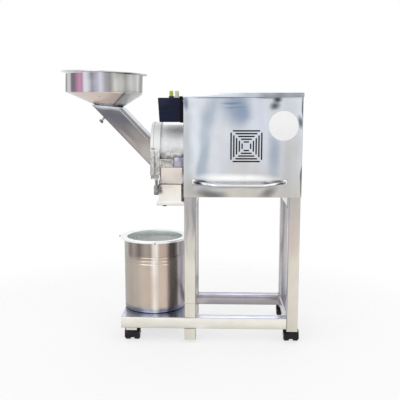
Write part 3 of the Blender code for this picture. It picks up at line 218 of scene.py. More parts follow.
# %% [markdown]
# ## Polished stainless steel
# The sheet and tube are stainless steel, rolled bright and then buffed. The eye gets three things
# from that: broad soft bands, because buffed sheet is never quite flat; a tone that changes with
# the way a face looks, because each face shows another side of the room, painted in here as
# reflection and shade; and fine buffing lines, which only show as a slight drag of the highlights.
# Three small helpers come first, because every finish mixes colours, ramps a value smoothly and
# needs noise of a known size.

# %% Mixing, ramps and noise


def mixed(tree, share, first, second):
    """Colour between two colours, each a socket or a linear colour."""
    node = add(tree, "ShaderNodeMix", {0: share, 6: first, 7: second}, data_type="RGBA", clamp_factor=True)
    return node.outputs[2]


def between(tree, value, low, high, out_low=0.0, out_high=1.0):
    """Smooth ramp of a value between two limits."""
    node = add(tree, "ShaderNodeMapRange",
               {"Value": value, "From Min": low, "From Max": high, "To Min": out_low, "To Max": out_high},
               interpolation_type="SMOOTHSTEP")
    return node.outputs[0]


def stretched_noise(tree, place, size, detail=3.0, roughness=0.5):
    """Noise whose grains measure size along X, Y and Z, in metres."""
    scaled = add(tree, "ShaderNodeVectorMath", {0: place, 1: [1 / s for s in size]}, operation="MULTIPLY")
    node = add(tree, "ShaderNodeTexNoise",
               {"Vector": scaled.outputs[0], "Scale": 1.0, "Detail": detail, "Roughness": roughness})
    return node.outputs["Fac"]


print("noise is sized in millimetres, so a 45 mm band has a scale of", round(1 / (45 * MM), 1))

# %% [markdown]
# ## Painted reflection and shade, and worn edges
# A polished box could be left to mirror a modelled room, but that room would take longer than the
# machine. Here each face gets a painted tone of reflection and shade from the way it looks, and soft
# patches of painted reflection and painted shadow stand for the large shapes that a real room shows
# in it. A worn edge is found by comparing the true normal with one that is rounded over a millimetre or so.

# %% Painted reflection and shade, and worn edges


def painted_light_patches(tree, colour, place, patches):
    """Soft ellipsoid patches of painted reflection and shade over a colour: centre and radii in mm, turn in
    degrees about Y.

    A patch holds its full strength out to a fifth of its radii and is gone a little past them.
    """
    for centre, radii, turn, hex_code, strength in patches:
        local = add(tree, "ShaderNodeMapping",
                    {"Vector": place, "Location": at(*centre), "Rotation": (0.0, math.radians(turn), 0.0),
                     "Scale": [r * MM for r in radii]}, vector_type="TEXTURE")
        off_centre = add(tree, "ShaderNodeVectorMath", {0: local.outputs[0]}, operation="LENGTH")
        share = between(tree, off_centre.outputs["Value"], 0.2, 1.15, strength, 0.0)
        colour = mixed(tree, share, colour, tint(hex_code))
    return colour


def edge_wear(tree, width, strength):
    """Share of a surface that lies on a rounded edge."""
    soft = add(tree, "ShaderNodeBevel", {"Radius": width}, samples=4)
    flat = add(tree, "ShaderNodeNewGeometry")
    level = add(tree, "ShaderNodeVectorMath", {0: soft.outputs[0], 1: flat.outputs["Normal"]},
                operation="DOT_PRODUCT")
    return between(tree, level.outputs["Value"], 0.90, 0.995, strength, 0.0)


def painted_tone_by_facing(tree, tones, place):
    """Painted reflection and shade by the way a face looks; the front tone runs from a low to a high hue."""
    spot = add(tree, "ShaderNodeTexCoord")
    look = add(tree, "ShaderNodeSeparateXYZ", {0: spot.outputs["Normal"]})
    height = add(tree, "ShaderNodeSeparateXYZ", {0: place})
    low_z, high_z = tones.get("rise", (0.1, 0.9))
    climb = between(tree, height.outputs["Z"], low_z, high_z)
    colour = mixed(tree, climb, tint(tones["low"]), tint(tones["high"]))
    tones = {"rear": tones["high"], "left": tones["right"], **tones}
    for side, axis, low, high in (("rear", "Y", 0.2, 0.8), ("right", "X", 0.25, 0.85),
                                  ("left", "X", -0.25, -0.85), ("top", "Z", 0.25, 0.85),
                                  ("under", "Z", -0.25, -0.85)):
        share = between(tree, look.outputs[axis], low, high)
        colour = mixed(tree, share, colour, tint(tones[side]))
    return colour


print("each face takes one of six tones: low to high, rear, right, left, top and under")

# %% [markdown]
# ## Bright steel
# One function makes every steel finish. It varies the tone with long bands and a faint haze,
# brightens the worn edges, and adds buffing lines to the roughness and the bump. Buffing lines are
# about 0.1 mm wide in reality. Here they are 0.8 mm, or they would not show at all.

# %% Bright steel
BUFF_LINE, BUFF_LENGTH = 0.8 * MM, 120 * MM
BAND_WIDTH, BAND_LENGTH = 45 * MM, 900 * MM
HAZE_SIZE = 90 * MM
WOBBLE = 30 * MM
WORN_WIDTH = 1.2 * MM
WORN_BRIGHT = "F2F1EE"


def finish_steel(tree, shader, colour, place, grain, roughness, band, wear):
    """Long bands, haze, worn edges and buffing lines, common to all bright steel.

    The grain is the axis along which bands and lines run: 0, 1 or 2 for X, Y or Z.
    """
    band_size = [BAND_WIDTH] * 3
    band_size[grain] = BAND_LENGTH
    waves = stretched_noise(tree, place, band_size, 2.0)
    shade = between(tree, waves, 0.3, 0.7, 1.0 - band, 1.0 + band)
    haze = stretched_noise(tree, place, [HAZE_SIZE] * 3, 4.0, 0.6)
    cloud = between(tree, haze, 0.35, 0.65, 0.97, 1.03)
    factor = add(tree, "ShaderNodeMath", {0: shade, 1: cloud}, operation="MULTIPLY")
    scaled = add(tree, "ShaderNodeVectorMath", {0: colour, "Scale": factor.outputs[0]}, operation="SCALE")
    line_size = [BUFF_LINE] * 3
    line_size[grain] = BUFF_LENGTH
    lines = stretched_noise(tree, place, line_size, 2.0, 0.7)
    streak = between(tree, lines, 0.3, 0.7, 0.985, 1.015)
    scaled = add(tree, "ShaderNodeVectorMath", {0: scaled.outputs[0], "Scale": streak}, operation="SCALE")
    worn = edge_wear(tree, WORN_WIDTH, wear)
    final = mixed(tree, worn, scaled.outputs[0], tint(WORN_BRIGHT))
    tree.links.new(final, shader.inputs["Base Color"])
    shader.inputs["Metallic"].default_value = 1.0
    dull = add(tree, "ShaderNodeMath", {0: lines, 1: 0.10, 2: roughness - 0.05}, operation="MULTIPLY_ADD")
    smear = add(tree, "ShaderNodeMath", {0: haze, 1: 0.12, 2: dull.outputs[0]}, operation="MULTIPLY_ADD")
    tree.links.new(smear.outputs[0], shader.inputs["Roughness"])
    relief = add(tree, "ShaderNodeBump", {"Height": lines, "Strength": 0.06, "Distance": 0.0002})
    tree.links.new(relief.outputs[0], shader.inputs["Normal"])


def bright_steel(name, tones, patches=(), grain=2, roughness=0.16, band=0.05, wear=0.35):
    """Buffed stainless steel with painted reflection and shade: its tone follows the way its faces look, and
    its painted patches wobble a little.
    """
    material, tree, shader = new_material(name)
    place = add(tree, "ShaderNodeTexCoord").outputs["Object"]
    wobble = add(tree, "ShaderNodeTexNoise", {"Vector": place, "Scale": 9.0, "Detail": 1.0})
    shift = add(tree, "ShaderNodeVectorMath", {0: wobble.outputs["Color"], 1: [WOBBLE] * 3, 2: place},
                operation="MULTIPLY_ADD")
    bent = add(tree, "ShaderNodeVectorMath", {0: shift.outputs[0], 1: [WOBBLE / 2] * 3}, operation="SUBTRACT")
    colour = painted_tone_by_facing(tree, tones, place)
    colour = painted_light_patches(tree, colour, bent.outputs[0], patches)
    finish_steel(tree, shader, colour, place, grain, roughness, band, wear)
    return material


print("steel: buffing lines", BUFF_LINE / MM, "mm, bands", BAND_WIDTH / MM, "mm")

# %% [markdown]
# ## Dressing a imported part
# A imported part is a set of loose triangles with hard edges. Real sheet and castings have edges that
# are broken or rounded by a few tenths of a millimetre, and those edges catch the light. So a part
# whose shape is already right is copied, its triangles are merged, its edges get a small bevel, and
# the copy stands in for it on the same body.

# %% Dressed copies
MERGE = 0.002 * MM
FLAT_BELOW = math.radians(0.3)
SMOOTH_BELOW = math.radians(50)


def settle(piece, material, node, stands_for=True):
    """Gives a piece its material and body; it stands for its part or is only added to it."""
    piece.data.materials.clear()
    piece.data.materials.append(material)
    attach(piece, body_of_node[node])
    if stands_for:
        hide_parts(node)


def piece_from(name, bm, smooth_below=SMOOTH_BELOW):
    """New object from mesh data, smooth where faces meet below an angle."""
    mesh = bpy.data.meshes.new(name)
    bm.to_mesh(mesh)
    bm.free()
    mesh.shade_smooth()
    mesh.set_sharp_from_angle(angle=smooth_below)
    piece = bpy.data.objects.new(name, mesh)
    bpy.context.scene.collection.objects.link(piece)
    return piece


def soften(piece, edge):
    """Rounds the hard edges of a piece by so many millimetres."""
    bevel = piece.modifiers.new("broken_edges", "BEVEL")
    bevel.width = edge * MM
    bevel.segments = 2
    bevel.limit_method = "ANGLE"
    bevel.angle_limit = SMOOTH_BELOW
    bevel.harden_normals = True
    return piece


def merged(node):
    """Copy of a part's mesh with its triangles joined and its flat faces made whole."""
    bm = bmesh.new()
    bm.from_mesh(nodes[node].data)
    for layer in list(bm.loops.layers.float_vector):
        bm.loops.layers.float_vector.remove(layer)
    bmesh.ops.remove_doubles(bm, verts=bm.verts, dist=MERGE)
    bmesh.ops.dissolve_limit(bm, angle_limit=FLAT_BELOW, verts=bm.verts, edges=bm.edges)
    return bm


def dress(node, material, edge):
    """Copy of a part in a new finish, its edges rounded by so many millimetres."""
    settle(soften(piece_from(f"{node}_finished", merged(node)), edge), material, node)


print("corners closer than", MERGE / MM, "mm are merged")

# %% [markdown]
# ## Turned bodies
# Small parts are made the way a workshop makes them. A rivet, a rim or a can's foot is an outline
# turned round an axis. Blender's Spin tool could do it, but it may leave doubles and faces that
# point inwards, so the rings are made and skinned here, merged, and their normals recalculated.

# %% Turned bodies


def once_round(steps):
    """Angles of equal steps once round a circle."""
    return [2 * math.pi * i / steps for i in range(steps)]


def arc(centre, radius, first, last, count):
    """Points (radius, height) on an arc, angles in degrees."""
    angles = [math.radians(first + (last - first) * i / (count - 1)) for i in range(count)]
    return [(centre[0] + radius * math.cos(a), centre[1] + radius * math.sin(a)) for a in angles]


def skin(bm, rings, closed=False):
    """Joins rings of equal length with faces."""
    pairs = list(zip(rings, rings[1:]))
    if closed:
        pairs.append((rings[-1], rings[0]))
    for upper, lower in pairs:
        for i in range(len(upper)):
            after = (i + 1) % len(upper)
            bm.faces.new((upper[i], lower[i], lower[after], upper[after]))


def take_in(bm, other):
    """Adds the faces of other mesh data, which is then freed."""
    passing = bpy.data.meshes.new("passing")
    other.to_mesh(passing)
    other.free()
    bm.from_mesh(passing)
    bpy.data.meshes.remove(passing)


def lathed(outline, origin=(0.0, 0.0, 0.0), aim=(0, 0, 1), steps=48, ring=False):
    """Mesh data turned round an axis through a point; the outline lists (radius, height) in millimetres."""
    bm = bmesh.new()
    lay = Vector((0, 0, 1)).rotation_difference(Vector(aim))
    rings = []
    for radius, height in outline:
        spots = [Vector((radius * math.cos(t), radius * math.sin(t), height)) * MM for t in once_round(steps)]
        rings.append([bm.verts.new(Vector(origin) + lay @ spot) for spot in spots])
    skin(bm, rings, closed=ring)
    bmesh.ops.remove_doubles(bm, verts=bm.verts, dist=MERGE)
    bmesh.ops.recalc_face_normals(bm, faces=bm.faces)
    return bm


print("a circle of 48 steps turns by", math.degrees(once_round(48)[1]), "degrees at a time")

# %% [markdown]
# ## Wires and bars
# A hem is a round wire laid along an edge, and a bracket is an outline with a length. Both need only
# two rings of points, skinned and closed at the ends.

# %% Wires and bars


def close_bar(bm, rings):
    """Skins two end rings and closes both ends."""
    skin(bm, rings)
    bm.faces.new(rings[0])
    bm.faces.new(reversed(rings[1]))


def rod(bm, first, last, radius):
    """Adds a round wire between two points given in millimetres."""
    start, end = at(*first), at(*last)
    lay = Vector((0, 0, 1)).rotation_difference(end - start)
    circle = [lay @ Vector((math.cos(t), math.sin(t), 0.0)) * radius * MM for t in once_round(8)]
    close_bar(bm, [[bm.verts.new(middle + spoke) for spoke in circle] for middle in (start, end)])


def raised(pair, axis, level):
    """Point whose place along X, Y or Z is a level; the pair gives the other two, in their order."""
    spot = list(pair)
    spot.insert("XYZ".index(axis), level)
    return spot


def extruded(name, axis, outline, low, high, edge=0.3):
    """Bar with a given outline along X, Y or Z; the outline uses the other two axes, in their order."""
    bm = bmesh.new()
    rings = [[bm.verts.new(at(*raised(pair, axis, level))) for pair in outline] for level in (low, high)]
    close_bar(bm, rings)
    bmesh.ops.recalc_face_normals(bm, faces=bm.faces)
    return soften(piece_from(name, bm), edge)


print("outlines can be drawn out along", ", ".join("XYZ"))

# %% [markdown]
# ## Things that repeat
# Weld ripples and fasteners repeat along edges and at points, so Geometry Nodes place them. Each tree
# has named inputs for its sizes and a seed that never changes. The grown result is kept as plain mesh.

# %% Helpers for geometry trees


def new_geometry_tree(name, sizes):
    """Geometry tree with a geometry input, one named input for each size, and a finish."""
    tree = bpy.data.node_groups.new(name, "GeometryNodeTree")
    tree.interface.new_socket("Geometry", in_out="OUTPUT", socket_type="NodeSocketGeometry")
    tree.interface.new_socket("Geometry", in_out="INPUT", socket_type="NodeSocketGeometry")
    for label, (kind, value) in sizes.items():
        socket = tree.interface.new_socket(label, in_out="INPUT", socket_type=f"NodeSocket{kind}")
        if value is not None:
            socket.default_value = value
    tree.interface.new_socket("Finish", in_out="INPUT", socket_type="NodeSocketMaterial")
    return tree, add(tree, "NodeGroupInput").outputs


def close_geometry_tree(tree, sizes, geometry):
    """Ends a geometry tree in plain mesh with its finish on."""
    plain = add(tree, "GeometryNodeRealizeInstances", {"Geometry": geometry})
    smooth = add(tree, "GeometryNodeSetShadeSmooth", {"Geometry": plain.outputs[0]})
    finished = add(tree, "GeometryNodeSetMaterial",
                   {"Geometry": smooth.outputs[0], "Material": sizes["Finish"]})
    add(tree, "NodeGroupOutput", {"Geometry": finished.outputs[0]})


def grown(name, tree, start, values):
    """Mesh grown by a geometry tree from a starting mesh."""
    seedling = bpy.data.objects.new(f"{name}_start", start)
    bpy.context.scene.collection.objects.link(seedling)
    modifier = seedling.modifiers.new("grow", "NODES")
    modifier.node_group = tree
    for item in tree.interface.items_tree:
        if item.in_out == "INPUT" and item.name in values:
            modifier[item.identifier] = values[item.name]
    bpy.context.view_layer.update()
    mesh = bpy.data.meshes.new_from_object(seedling.evaluated_get(bpy.context.evaluated_depsgraph_get()))
    bpy.data.objects.remove(seedling)
    mesh.name = name
    return mesh


def grown_piece(name, tree, start, values, node):
    """Piece grown by a geometry tree, riding on the body of a part."""
    mesh = grown(name, tree, start, values)
    mesh.set_sharp_from_angle(angle=SMOOTH_BELOW)
    piece = bpy.data.objects.new(name, mesh)
    bpy.context.scene.collection.objects.link(piece)
    settle(piece, values["Finish"], node, stands_for=False)


print("a tree ends in plain mesh with its finish on")

# %% [markdown]
# ## Weld ripples
# A hand-made weld is a row of overlapping drops. The tree walks along each path in steps of one
# ripple and puts a flattened ball at every step, each a little wider or narrower than the last.

# %% Weld ripple tree
RIPPLE_SEED = 7
ripple_tree, sizes = new_geometry_tree("weld_ripples", {
    "Ripple Pitch": ("Float", 0.0024), "Bead Radius": ("Float", 0.0012), "Seed": ("Int", RIPPLE_SEED)})
path = add(ripple_tree, "GeometryNodeMeshToCurve", {"Mesh": sizes["Geometry"]})
path = add(ripple_tree, "GeometryNodeResampleCurve",
           {"Curve": path.outputs[0], "Length": sizes["Ripple Pitch"]}, mode="LENGTH")
ripple = add(ripple_tree, "GeometryNodeMeshUVSphere",
             {"Segments": 8, "Rings": 5, "Radius": sizes["Bead Radius"]})
along = add(ripple_tree, "FunctionNodeAlignRotationToVector",
            {"Vector": add(ripple_tree, "GeometryNodeInputTangent").outputs[0]}, axis="X")
uneven = add(ripple_tree, "FunctionNodeRandomValue", {2: 0.85, 3: 1.15, 8: sizes["Seed"]}, data_type="FLOAT")
drop = add(ripple_tree, "ShaderNodeCombineXYZ", {"X": 1.35, "Y": uneven.outputs[1], "Z": uneven.outputs[1]})
beads = add(ripple_tree, "GeometryNodeInstanceOnPoints",
            {"Points": path.outputs[0], "Instance": ripple.outputs[0], "Rotation": along.outputs[0],
             "Scale": drop.outputs[0]})
close_geometry_tree(ripple_tree, sizes, beads.outputs[0])


def paths_mesh(name, paths):
    """Edges along paths of points given in millimetres."""
    mesh = bpy.data.meshes.new(name)
    points, edges = [], []
    for path in paths:
        edges += [(len(points) + i, len(points) + i + 1) for i in range(len(path) - 1)]
        points += [at(*point) for point in path]
    mesh.from_pydata(points, edges, [])
    return mesh


print("weld ripples grow from", len(ripple_tree.nodes), "nodes")

# %% [markdown]
# ## Fasteners
# Screws and bolts are bought parts, all alike. One head is modelled for each kind, and the tree
# copies it to every point, standing the way the point says and turned by chance, because nobody
# lines up screw slots.

# %% Fastener tree
FASTENER_SEED = 11
fastener_tree, sizes = new_geometry_tree("fasteners", {
    "Head": ("Object", None), "Size": ("Float", 1.0), "Seed": ("Int", FASTENER_SEED)})
head = add(fastener_tree, "GeometryNodeObjectInfo", {"Object": sizes["Head"]})
aim_of_point = add(fastener_tree, "GeometryNodeInputNamedAttribute", {"Name": "aim"},
                   data_type="FLOAT_VECTOR")
stood = add(fastener_tree, "FunctionNodeAlignRotationToVector", {"Vector": aim_of_point.outputs[0]}, axis="Z")
spin = add(fastener_tree, "FunctionNodeRandomValue", {2: 0.0, 3: 2 * math.pi, 8: sizes["Seed"]},
           data_type="FLOAT")
turn_by = add(fastener_tree, "FunctionNodeAxisAngleToRotation",
              {"Axis": (0.0, 0.0, 1.0), "Angle": spin.outputs[1]})
spun = add(fastener_tree, "FunctionNodeRotateRotation",
           {"Rotation": stood.outputs[0], "Rotate By": turn_by.outputs[0]}, rotation_space="LOCAL")
heads = add(fastener_tree, "GeometryNodeInstanceOnPoints",
            {"Points": sizes["Geometry"], "Instance": head.outputs["Geometry"], "Rotation": spun.outputs[0],
             "Scale": sizes["Size"]})
close_geometry_tree(fastener_tree, sizes, heads.outputs[0])


def points_mesh(name, places):
    """Points in millimetres, each with the way its fastener looks."""
    mesh = bpy.data.meshes.new(name)
    mesh.from_pydata([at(*place) for place, aim in places], [], [])
    aims = mesh.attributes.new("aim", "FLOAT_VECTOR", "POINT")
    for item, (place, aim) in zip(aims.data, places):
        item.vector = Vector(aim).normalized()
    return mesh


def fasten(name, head_shape, places, node, finish, scale=1.0):
    """Fastener heads at points."""
    values = {"Head": head_shape, "Size": scale, "Seed": FASTENER_SEED, "Finish": finish}
    grown_piece(name, fastener_tree, points_mesh(name, places), values, node)


print("fasteners grow from", len(fastener_tree.nodes), "nodes")

# %% [markdown]
# ## The stand
# Legs and rails are 40 mm square tube, welded and buffed. Their lower ends are painted warmer, a painted
# reflection of the workshop floor, and higher up they turn to plain grey. Their inner sides are painted
# darker, painted shade from the darker space under the cabinet. Tubes that face the camera in the same
# way share one finish.

# %% Tube finishes
# Painted reflection and shade: the tones and soft patches below stand for the room mirrored in the tubes.
LEG_TONES = {"low": "DFDACE", "high": "ADABA9", "rise": (0.26, 0.50), "right": "86848A", "left": "B2B0BA",
             "top": "DADCE2", "under": "6A6767", "rear": "B7B5B2"}
front_leg_left = bright_steel(
    "buffed_stainless_tube_left_leg", LEG_TONES,
    [((20, 0, 330), (30, 14, 40), 0, "C9C7C2", 0.5), ((34, 0, 470), (9, 14, 120), 0, "7F7E80", 0.6),
     ((12, 0, 420), (7, 14, 110), 0, "8F8D90", 0.45), ((40, 20, 300), (8, 24, 220), 0, "5C5B60", 0.5)],
)
front_leg_right = bright_steel(
    "buffed_stainless_tube_right_leg", {**LEG_TONES, "high": "BAB4AF", "low": "DCD5C9"},
    [((382, 0, 380), (24, 14, 90), 0, "CDBBB5", 0.6), ((362, 20, 480), (8, 26, 90), 0, "77767C", 0.6),
     ((362, 20, 200), (8, 26, 90), 0, "A5A4B4", 0.7)],
)
rear_tube = bright_steel("buffed_stainless_tube_rear_legs", {**LEG_TONES, "low": "C4C0BE", "high": "B1AFB1"})
front_rail = bright_steel(
    "buffed_stainless_tube_front_rail",
    {"low": "D9D5CA", "high": "EAE7DE", "rise": (0.052, 0.075), "right": "ABA9AC", "left": "C9C6BF",
     "top": "CDD0DE", "under": "8B8782", "rear": "A9A6A6"},
    [((-150, 0, 72), (60, 10, 30), 0, "DEDACF", 0.7), ((60, 0, 60), (40, 10, 12), 0, "F0EEE6", 0.7),
     ((180, 20, 92), (160, 8, 6), 0, "9C9BB4", 0.6)],
    grain=0,
)
rear_rail = bright_steel(
    "buffed_stainless_tube_rear_rail",
    {"low": "9C979B", "high": "BDB8BC", "rise": (0.052, 0.09), "right": "8F8C91", "left": "B5B2AE",
     "top": "A3A4B4", "under": "6E6A6C", "rear": "C9C6C0"},
    [((200, 280, 92), (170, 30, 8), 0, "C7CADB", 0.7), ((60, 280, 72), (30, 12, 24), 0, "CBC6C8", 0.5)],
    grain=0,
)
side_rail = bright_steel(
    "buffed_stainless_tube_side_rails",
    {"low": "B9B5B0", "high": "B0AEAC", "right": "A5A3A5", "left": "CBC8C0", "top": "C5C7D2",
     "under": "716E6E", "rear": "B5B3B1"},
    grain=1,
)
print("tube finishes:", len([m for m in bpy.data.materials if "tube" in m.name]))

# %% [markdown]
# ## Which tube wears which finish
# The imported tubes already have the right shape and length, so each is only dressed, with edges
# rounded by 0.3 mm. The bands of a rail run along X or Y, those of a leg upwards.

# %% Dress the stand
STAND_FINISH = {
    "leg_front_left": front_leg_left, "leg_stub_front": front_leg_left,
    "leg_front_right": front_leg_right,
    "leg_rear_left": rear_tube, "leg_rear_right": rear_tube, "leg_stub_rear": rear_tube,
    "bottom_rail_front": front_rail, "top_rail_front": rear_rail,
    "bottom_rail_rear": rear_rail, "top_rail_rear": rear_rail,
    "bottom_rail_left": side_rail, "bottom_rail_right": side_rail,
    "top_rail_left": side_rail, "top_rail_right": side_rail,
}
for node, material in STAND_FINISH.items():
    dress(node, material, 0.3)
print("dressed", len(STAND_FINISH), "tubes")

# %% [markdown]
# ## The cabinet
# The front panel is the largest mirror on the machine. The room shows in it as pale blue-grey with
# a few soft upright bands, a bright lens above the handle and warm grey slants below it, all painted
# in as soft patches of reflection; its inner face is painted dark as shade.

# %% Front panel
PANEL_PAINTED_LIGHT = [
    (12, 690, 34, 230, 0, "BAC0C4", 0.9),
    (44, 740, 30, 190, 3, "DCE2EA", 0.9),
    (92, 810, 34, 120, 14, "A9B4C3", 0.9),
    (66, 660, 24, 140, 6, "AAB5C2", 0.95),
    (76, 590, 34, 60, 4, "A5AFBC", 0.7),
    (122, 690, 40, 190, 5, "D5D8DF", 0.9),
    (178, 836, 64, 90, -4, "93A1B5", 0.95),
    (196, 806, 36, 50, 10, "8799B0", 0.6),
    (262, 800, 50, 130, 0, "D3DBE8", 0.8),
    (9, 846, 13, 32, 0, "7C8593", 0.95),
    (322, 862, 19, 13, 0, "44484E", 1.0),
    (312, 842, 22, 18, -20, "4E5257", 1.0),
    (393, 780, 12, 28, -8, "6E727C", 1.0),
    (308, 664, 30, 110, -4, "A3ADBB", 0.95),
    (362, 650, 46, 170, 0, "C3C2C3", 0.9),
    (200, 640, 60, 60, 0, "CDCBCB", 0.6),
    (192, 590, 172, 21, 0, "FFFFFF", 1.0),
    (192, 562, 170, 10, 0, "A5A39F", 0.8),
    (94, 536, 72, 24, 4, "787676", 0.95),
    (196, 536, 52, 30, 0, "CBC7C0", 0.9),
    (286, 540, 48, 22, -28, "7E7C7C", 0.95),
    (22, 560, 26, 50, 0, "AFADA9", 0.7),
    (58, 574, 32, 9, -6, "5E6167", 0.9),
    (292, 575, 36, 9, 6, "63666C", 0.85),
    (163, 848, 40, 6, 0, "75879F", 0.85),
    (172, 832, 44, 5, 0, "7C8DA5", 0.8),
    # painted shadow under the lid's lip
    (201, 869, 230, 6, 0, "565B64", 0.9),
]


def upright_patches(y, depth, light_and_shade):
    """Painted patches of reflection and shade on an upright sheet; each is x, z, half width, half height,
    turn, colour and strength.
    """
    return [((x, y, z), (wide, depth, tall), turn, hex_code, strength)
            for x, z, wide, tall, turn, hex_code, strength in light_and_shade]


# painted dark line along the panel's right edge
right_edge = ((404.5, -2, 690), (4.5, 30, 420), 0, "4A4C52", 1.0)
panel_front = bright_steel(
    "buffed_stainless_sheet_front",
    {"low": "C6C2BC", "high": "CED2D9", "rise": (0.53, 0.66), "right": "7C7F88", "left": "B7BAC0",
     "top": "C9CCD2", "under": "7F7C7A", "rear": "38393D"},
    [*upright_patches(0, 20, PANEL_PAINTED_LIGHT), right_edge], band=0.03, wear=0.0,
)
dress("front_panel", panel_front, 0.12)
print("front panel with", len(PANEL_PAINTED_LIGHT), "soft patches")

# %% [markdown]
# ## Side, rear and lid sheets
# The other sheets are the same steel. Their outer faces mirror the white room and are painted pale,
# with soft patches of painted reflection, while their inner faces look into the closed cabinet and
# are painted dark, as painted shade. The lid's front lip is a thin strip painted in short pale and
# dark stretches of reflection, and its top carries two pale painted reflections.

# %% Side, rear and lid sheets
WALL_TONES = {"low": "45464A", "high": "4A4B50", "rise": (0.52, 0.80), "top": "D2D6DE", "under": "7F7C7A",
              "rear": "C2C6CE"}
PALE, SHADED = "BFC3CA", "4A4B50"
right_sheet = bright_steel(
    "buffed_stainless_sheet_right_side", {**WALL_TONES, "right": "C4C8D0", "left": SHADED},
    [((404, 110, 740), (10, 60, 180), 0, "A9B3C0", 0.8), ((404, 230, 660), (10, 60, 150), 0, "DADEE5", 0.8)],
    band=0.06,
)
rear_sheet = bright_steel(
    "buffed_stainless_sheet_rear", {**WALL_TONES, "right": PALE, "left": PALE},
    [((120, 322, 720), (60, 12, 210), 5, "AEB8C5", 0.9), ((290, 322, 700), (70, 12, 180), -4, "DADFE7", 0.9)],
    band=0.06,
)
left_sheet = bright_steel(
    "buffed_stainless_sheet_left_side", {**WALL_TONES, "right": SHADED, "left": PALE},
    [((-2, 90, 760), (4, 60, 180), 0, "A7B1BE", 0.8), ((-2, 250, 650), (4, 60, 150), 0, "D9DDE4", 0.8)],
    band=0.06,
)
lid_sheet = bright_steel(
    "buffed_stainless_sheet_lid",
    {"low": "CDD3DC", "high": "DCE1E8", "rise": (0.867, 0.878), "right": "9DA1A9", "left": "C5CAD2",
     "top": "DDE1E8", "under": "6E7076", "rear": "B9BDC4"},
    [((340, 0, 874), (130, 14, 40), 0, "9DA1A8", 1.0), ((296, 0, 874), (56, 14, 30), 0, "6F737B", 0.95),
     ((222, 0, 874), (46, 14, 30), 0, "BAC2CC", 0.8), ((398, 0, 878), (40, 14, 20), 0, "85888D", 0.8),
     ((120, 120, 882), (90, 130, 14), 0, "C4CCD8", 0.6), ((300, 220, 882), (110, 90, 14), 0, "EEF1F5", 0.6)],
    grain=0, band=0.03,
)
for node, material in {"rear_panel": rear_sheet, "left_panel": left_sheet, "right_panel": right_sheet,
                       "lid": lid_sheet}.items():
    dress(node, material, 0.35)
print("dressed the walls and the lid")

# %% [markdown]
# ## Handle
# The handle is a bent round bar, polished brighter than the sheet. Being round it mirrors the whole
# room at once: its top is painted with a bright highlight, and it is painted nearly black, as painted
# reflection and shade, where it turns in to its two bosses, with a painted glint beside each.

# %% Handle
handle_steel = bright_steel(
    "polished_stainless_bar",
    {"low": "DADCE0", "high": "F2F4F8", "rise": (0.570, 0.580), "right": "A9ABB2", "left": "B9BBC2",
     "top": "FBFCFE", "under": "75767B", "rear": "9A9CA2"},
    [((54, -24, 577), (26, 40, 12), 10, "2E3138", 1.0), ((326, -24, 577), (26, 40, 12), -10, "2E3138", 1.0),
     ((76, -44, 576), (12, 18, 5), 10, "F6F7FA", 0.9), ((302, -44, 576), (12, 18, 5), -10, "F6F7FA", 0.9)],
    grain=0, roughness=0.12,
)
dress("front_handle", handle_steel, 0.6)
print("dressed the handle")

# %% [markdown]
# ## Turned and rolled sheet
# The hopper and the drum are round, so the room shows in them as upright streaks. A colour ramp
# read by the angle round the axis paints those streaks in as reflections: 0 degrees is the front,
# 90 the right. The inside of a shell looks into itself and is painted lighter, also a painted reflection.

# %% Streaked finish for round shells


def angle_ramp(tree, place, centre, stops, turn):
    """Colour by the angle in degrees round an upright axis through a point given in millimetres."""
    local = add(tree, "ShaderNodeVectorMath", {0: place, 1: at(*centre)}, operation="SUBTRACT")
    parts = add(tree, "ShaderNodeSeparateXYZ", {0: local.outputs[0]})
    ahead = add(tree, "ShaderNodeMath", {0: parts.outputs["Y"], 1: -1.0}, operation="MULTIPLY")
    angle = add(tree, "ShaderNodeMath", {0: parts.outputs["X"], 1: ahead.outputs[0]}, operation="ARCTAN2")
    share = add(tree, "ShaderNodeMapRange",
                {"Value": angle.outputs[0], "From Min": math.radians(turn - 180),
                 "From Max": math.radians(turn + 180)})
    ramp = add(tree, "ShaderNodeValToRGB", {"Fac": share.outputs[0]})
    elements = ramp.color_ramp.elements
    while len(elements) > 1:
        elements.remove(elements[-1])
    for i, (degrees, hex_code) in enumerate(stops):
        element = elements[0] if i == 0 else elements.new((degrees + 180) / 360)
        element.position = (degrees + 180) / 360
        element.color = tint(hex_code)
    return ramp.outputs["Color"], parts, local.outputs[0]


def inward_share(tree, local):
    """1 where a shell's face looks towards its axis, 0 where it looks out."""
    flat = add(tree, "ShaderNodeVectorMath", {0: local, 1: (1.0, 1.0, 0.0)}, operation="MULTIPLY")
    spot = add(tree, "ShaderNodeTexCoord")
    out = add(tree, "ShaderNodeVectorMath", {0: flat.outputs[0], 1: spot.outputs["Normal"]},
              operation="DOT_PRODUCT")
    return between(tree, out.outputs["Value"], 0.0, -0.01)


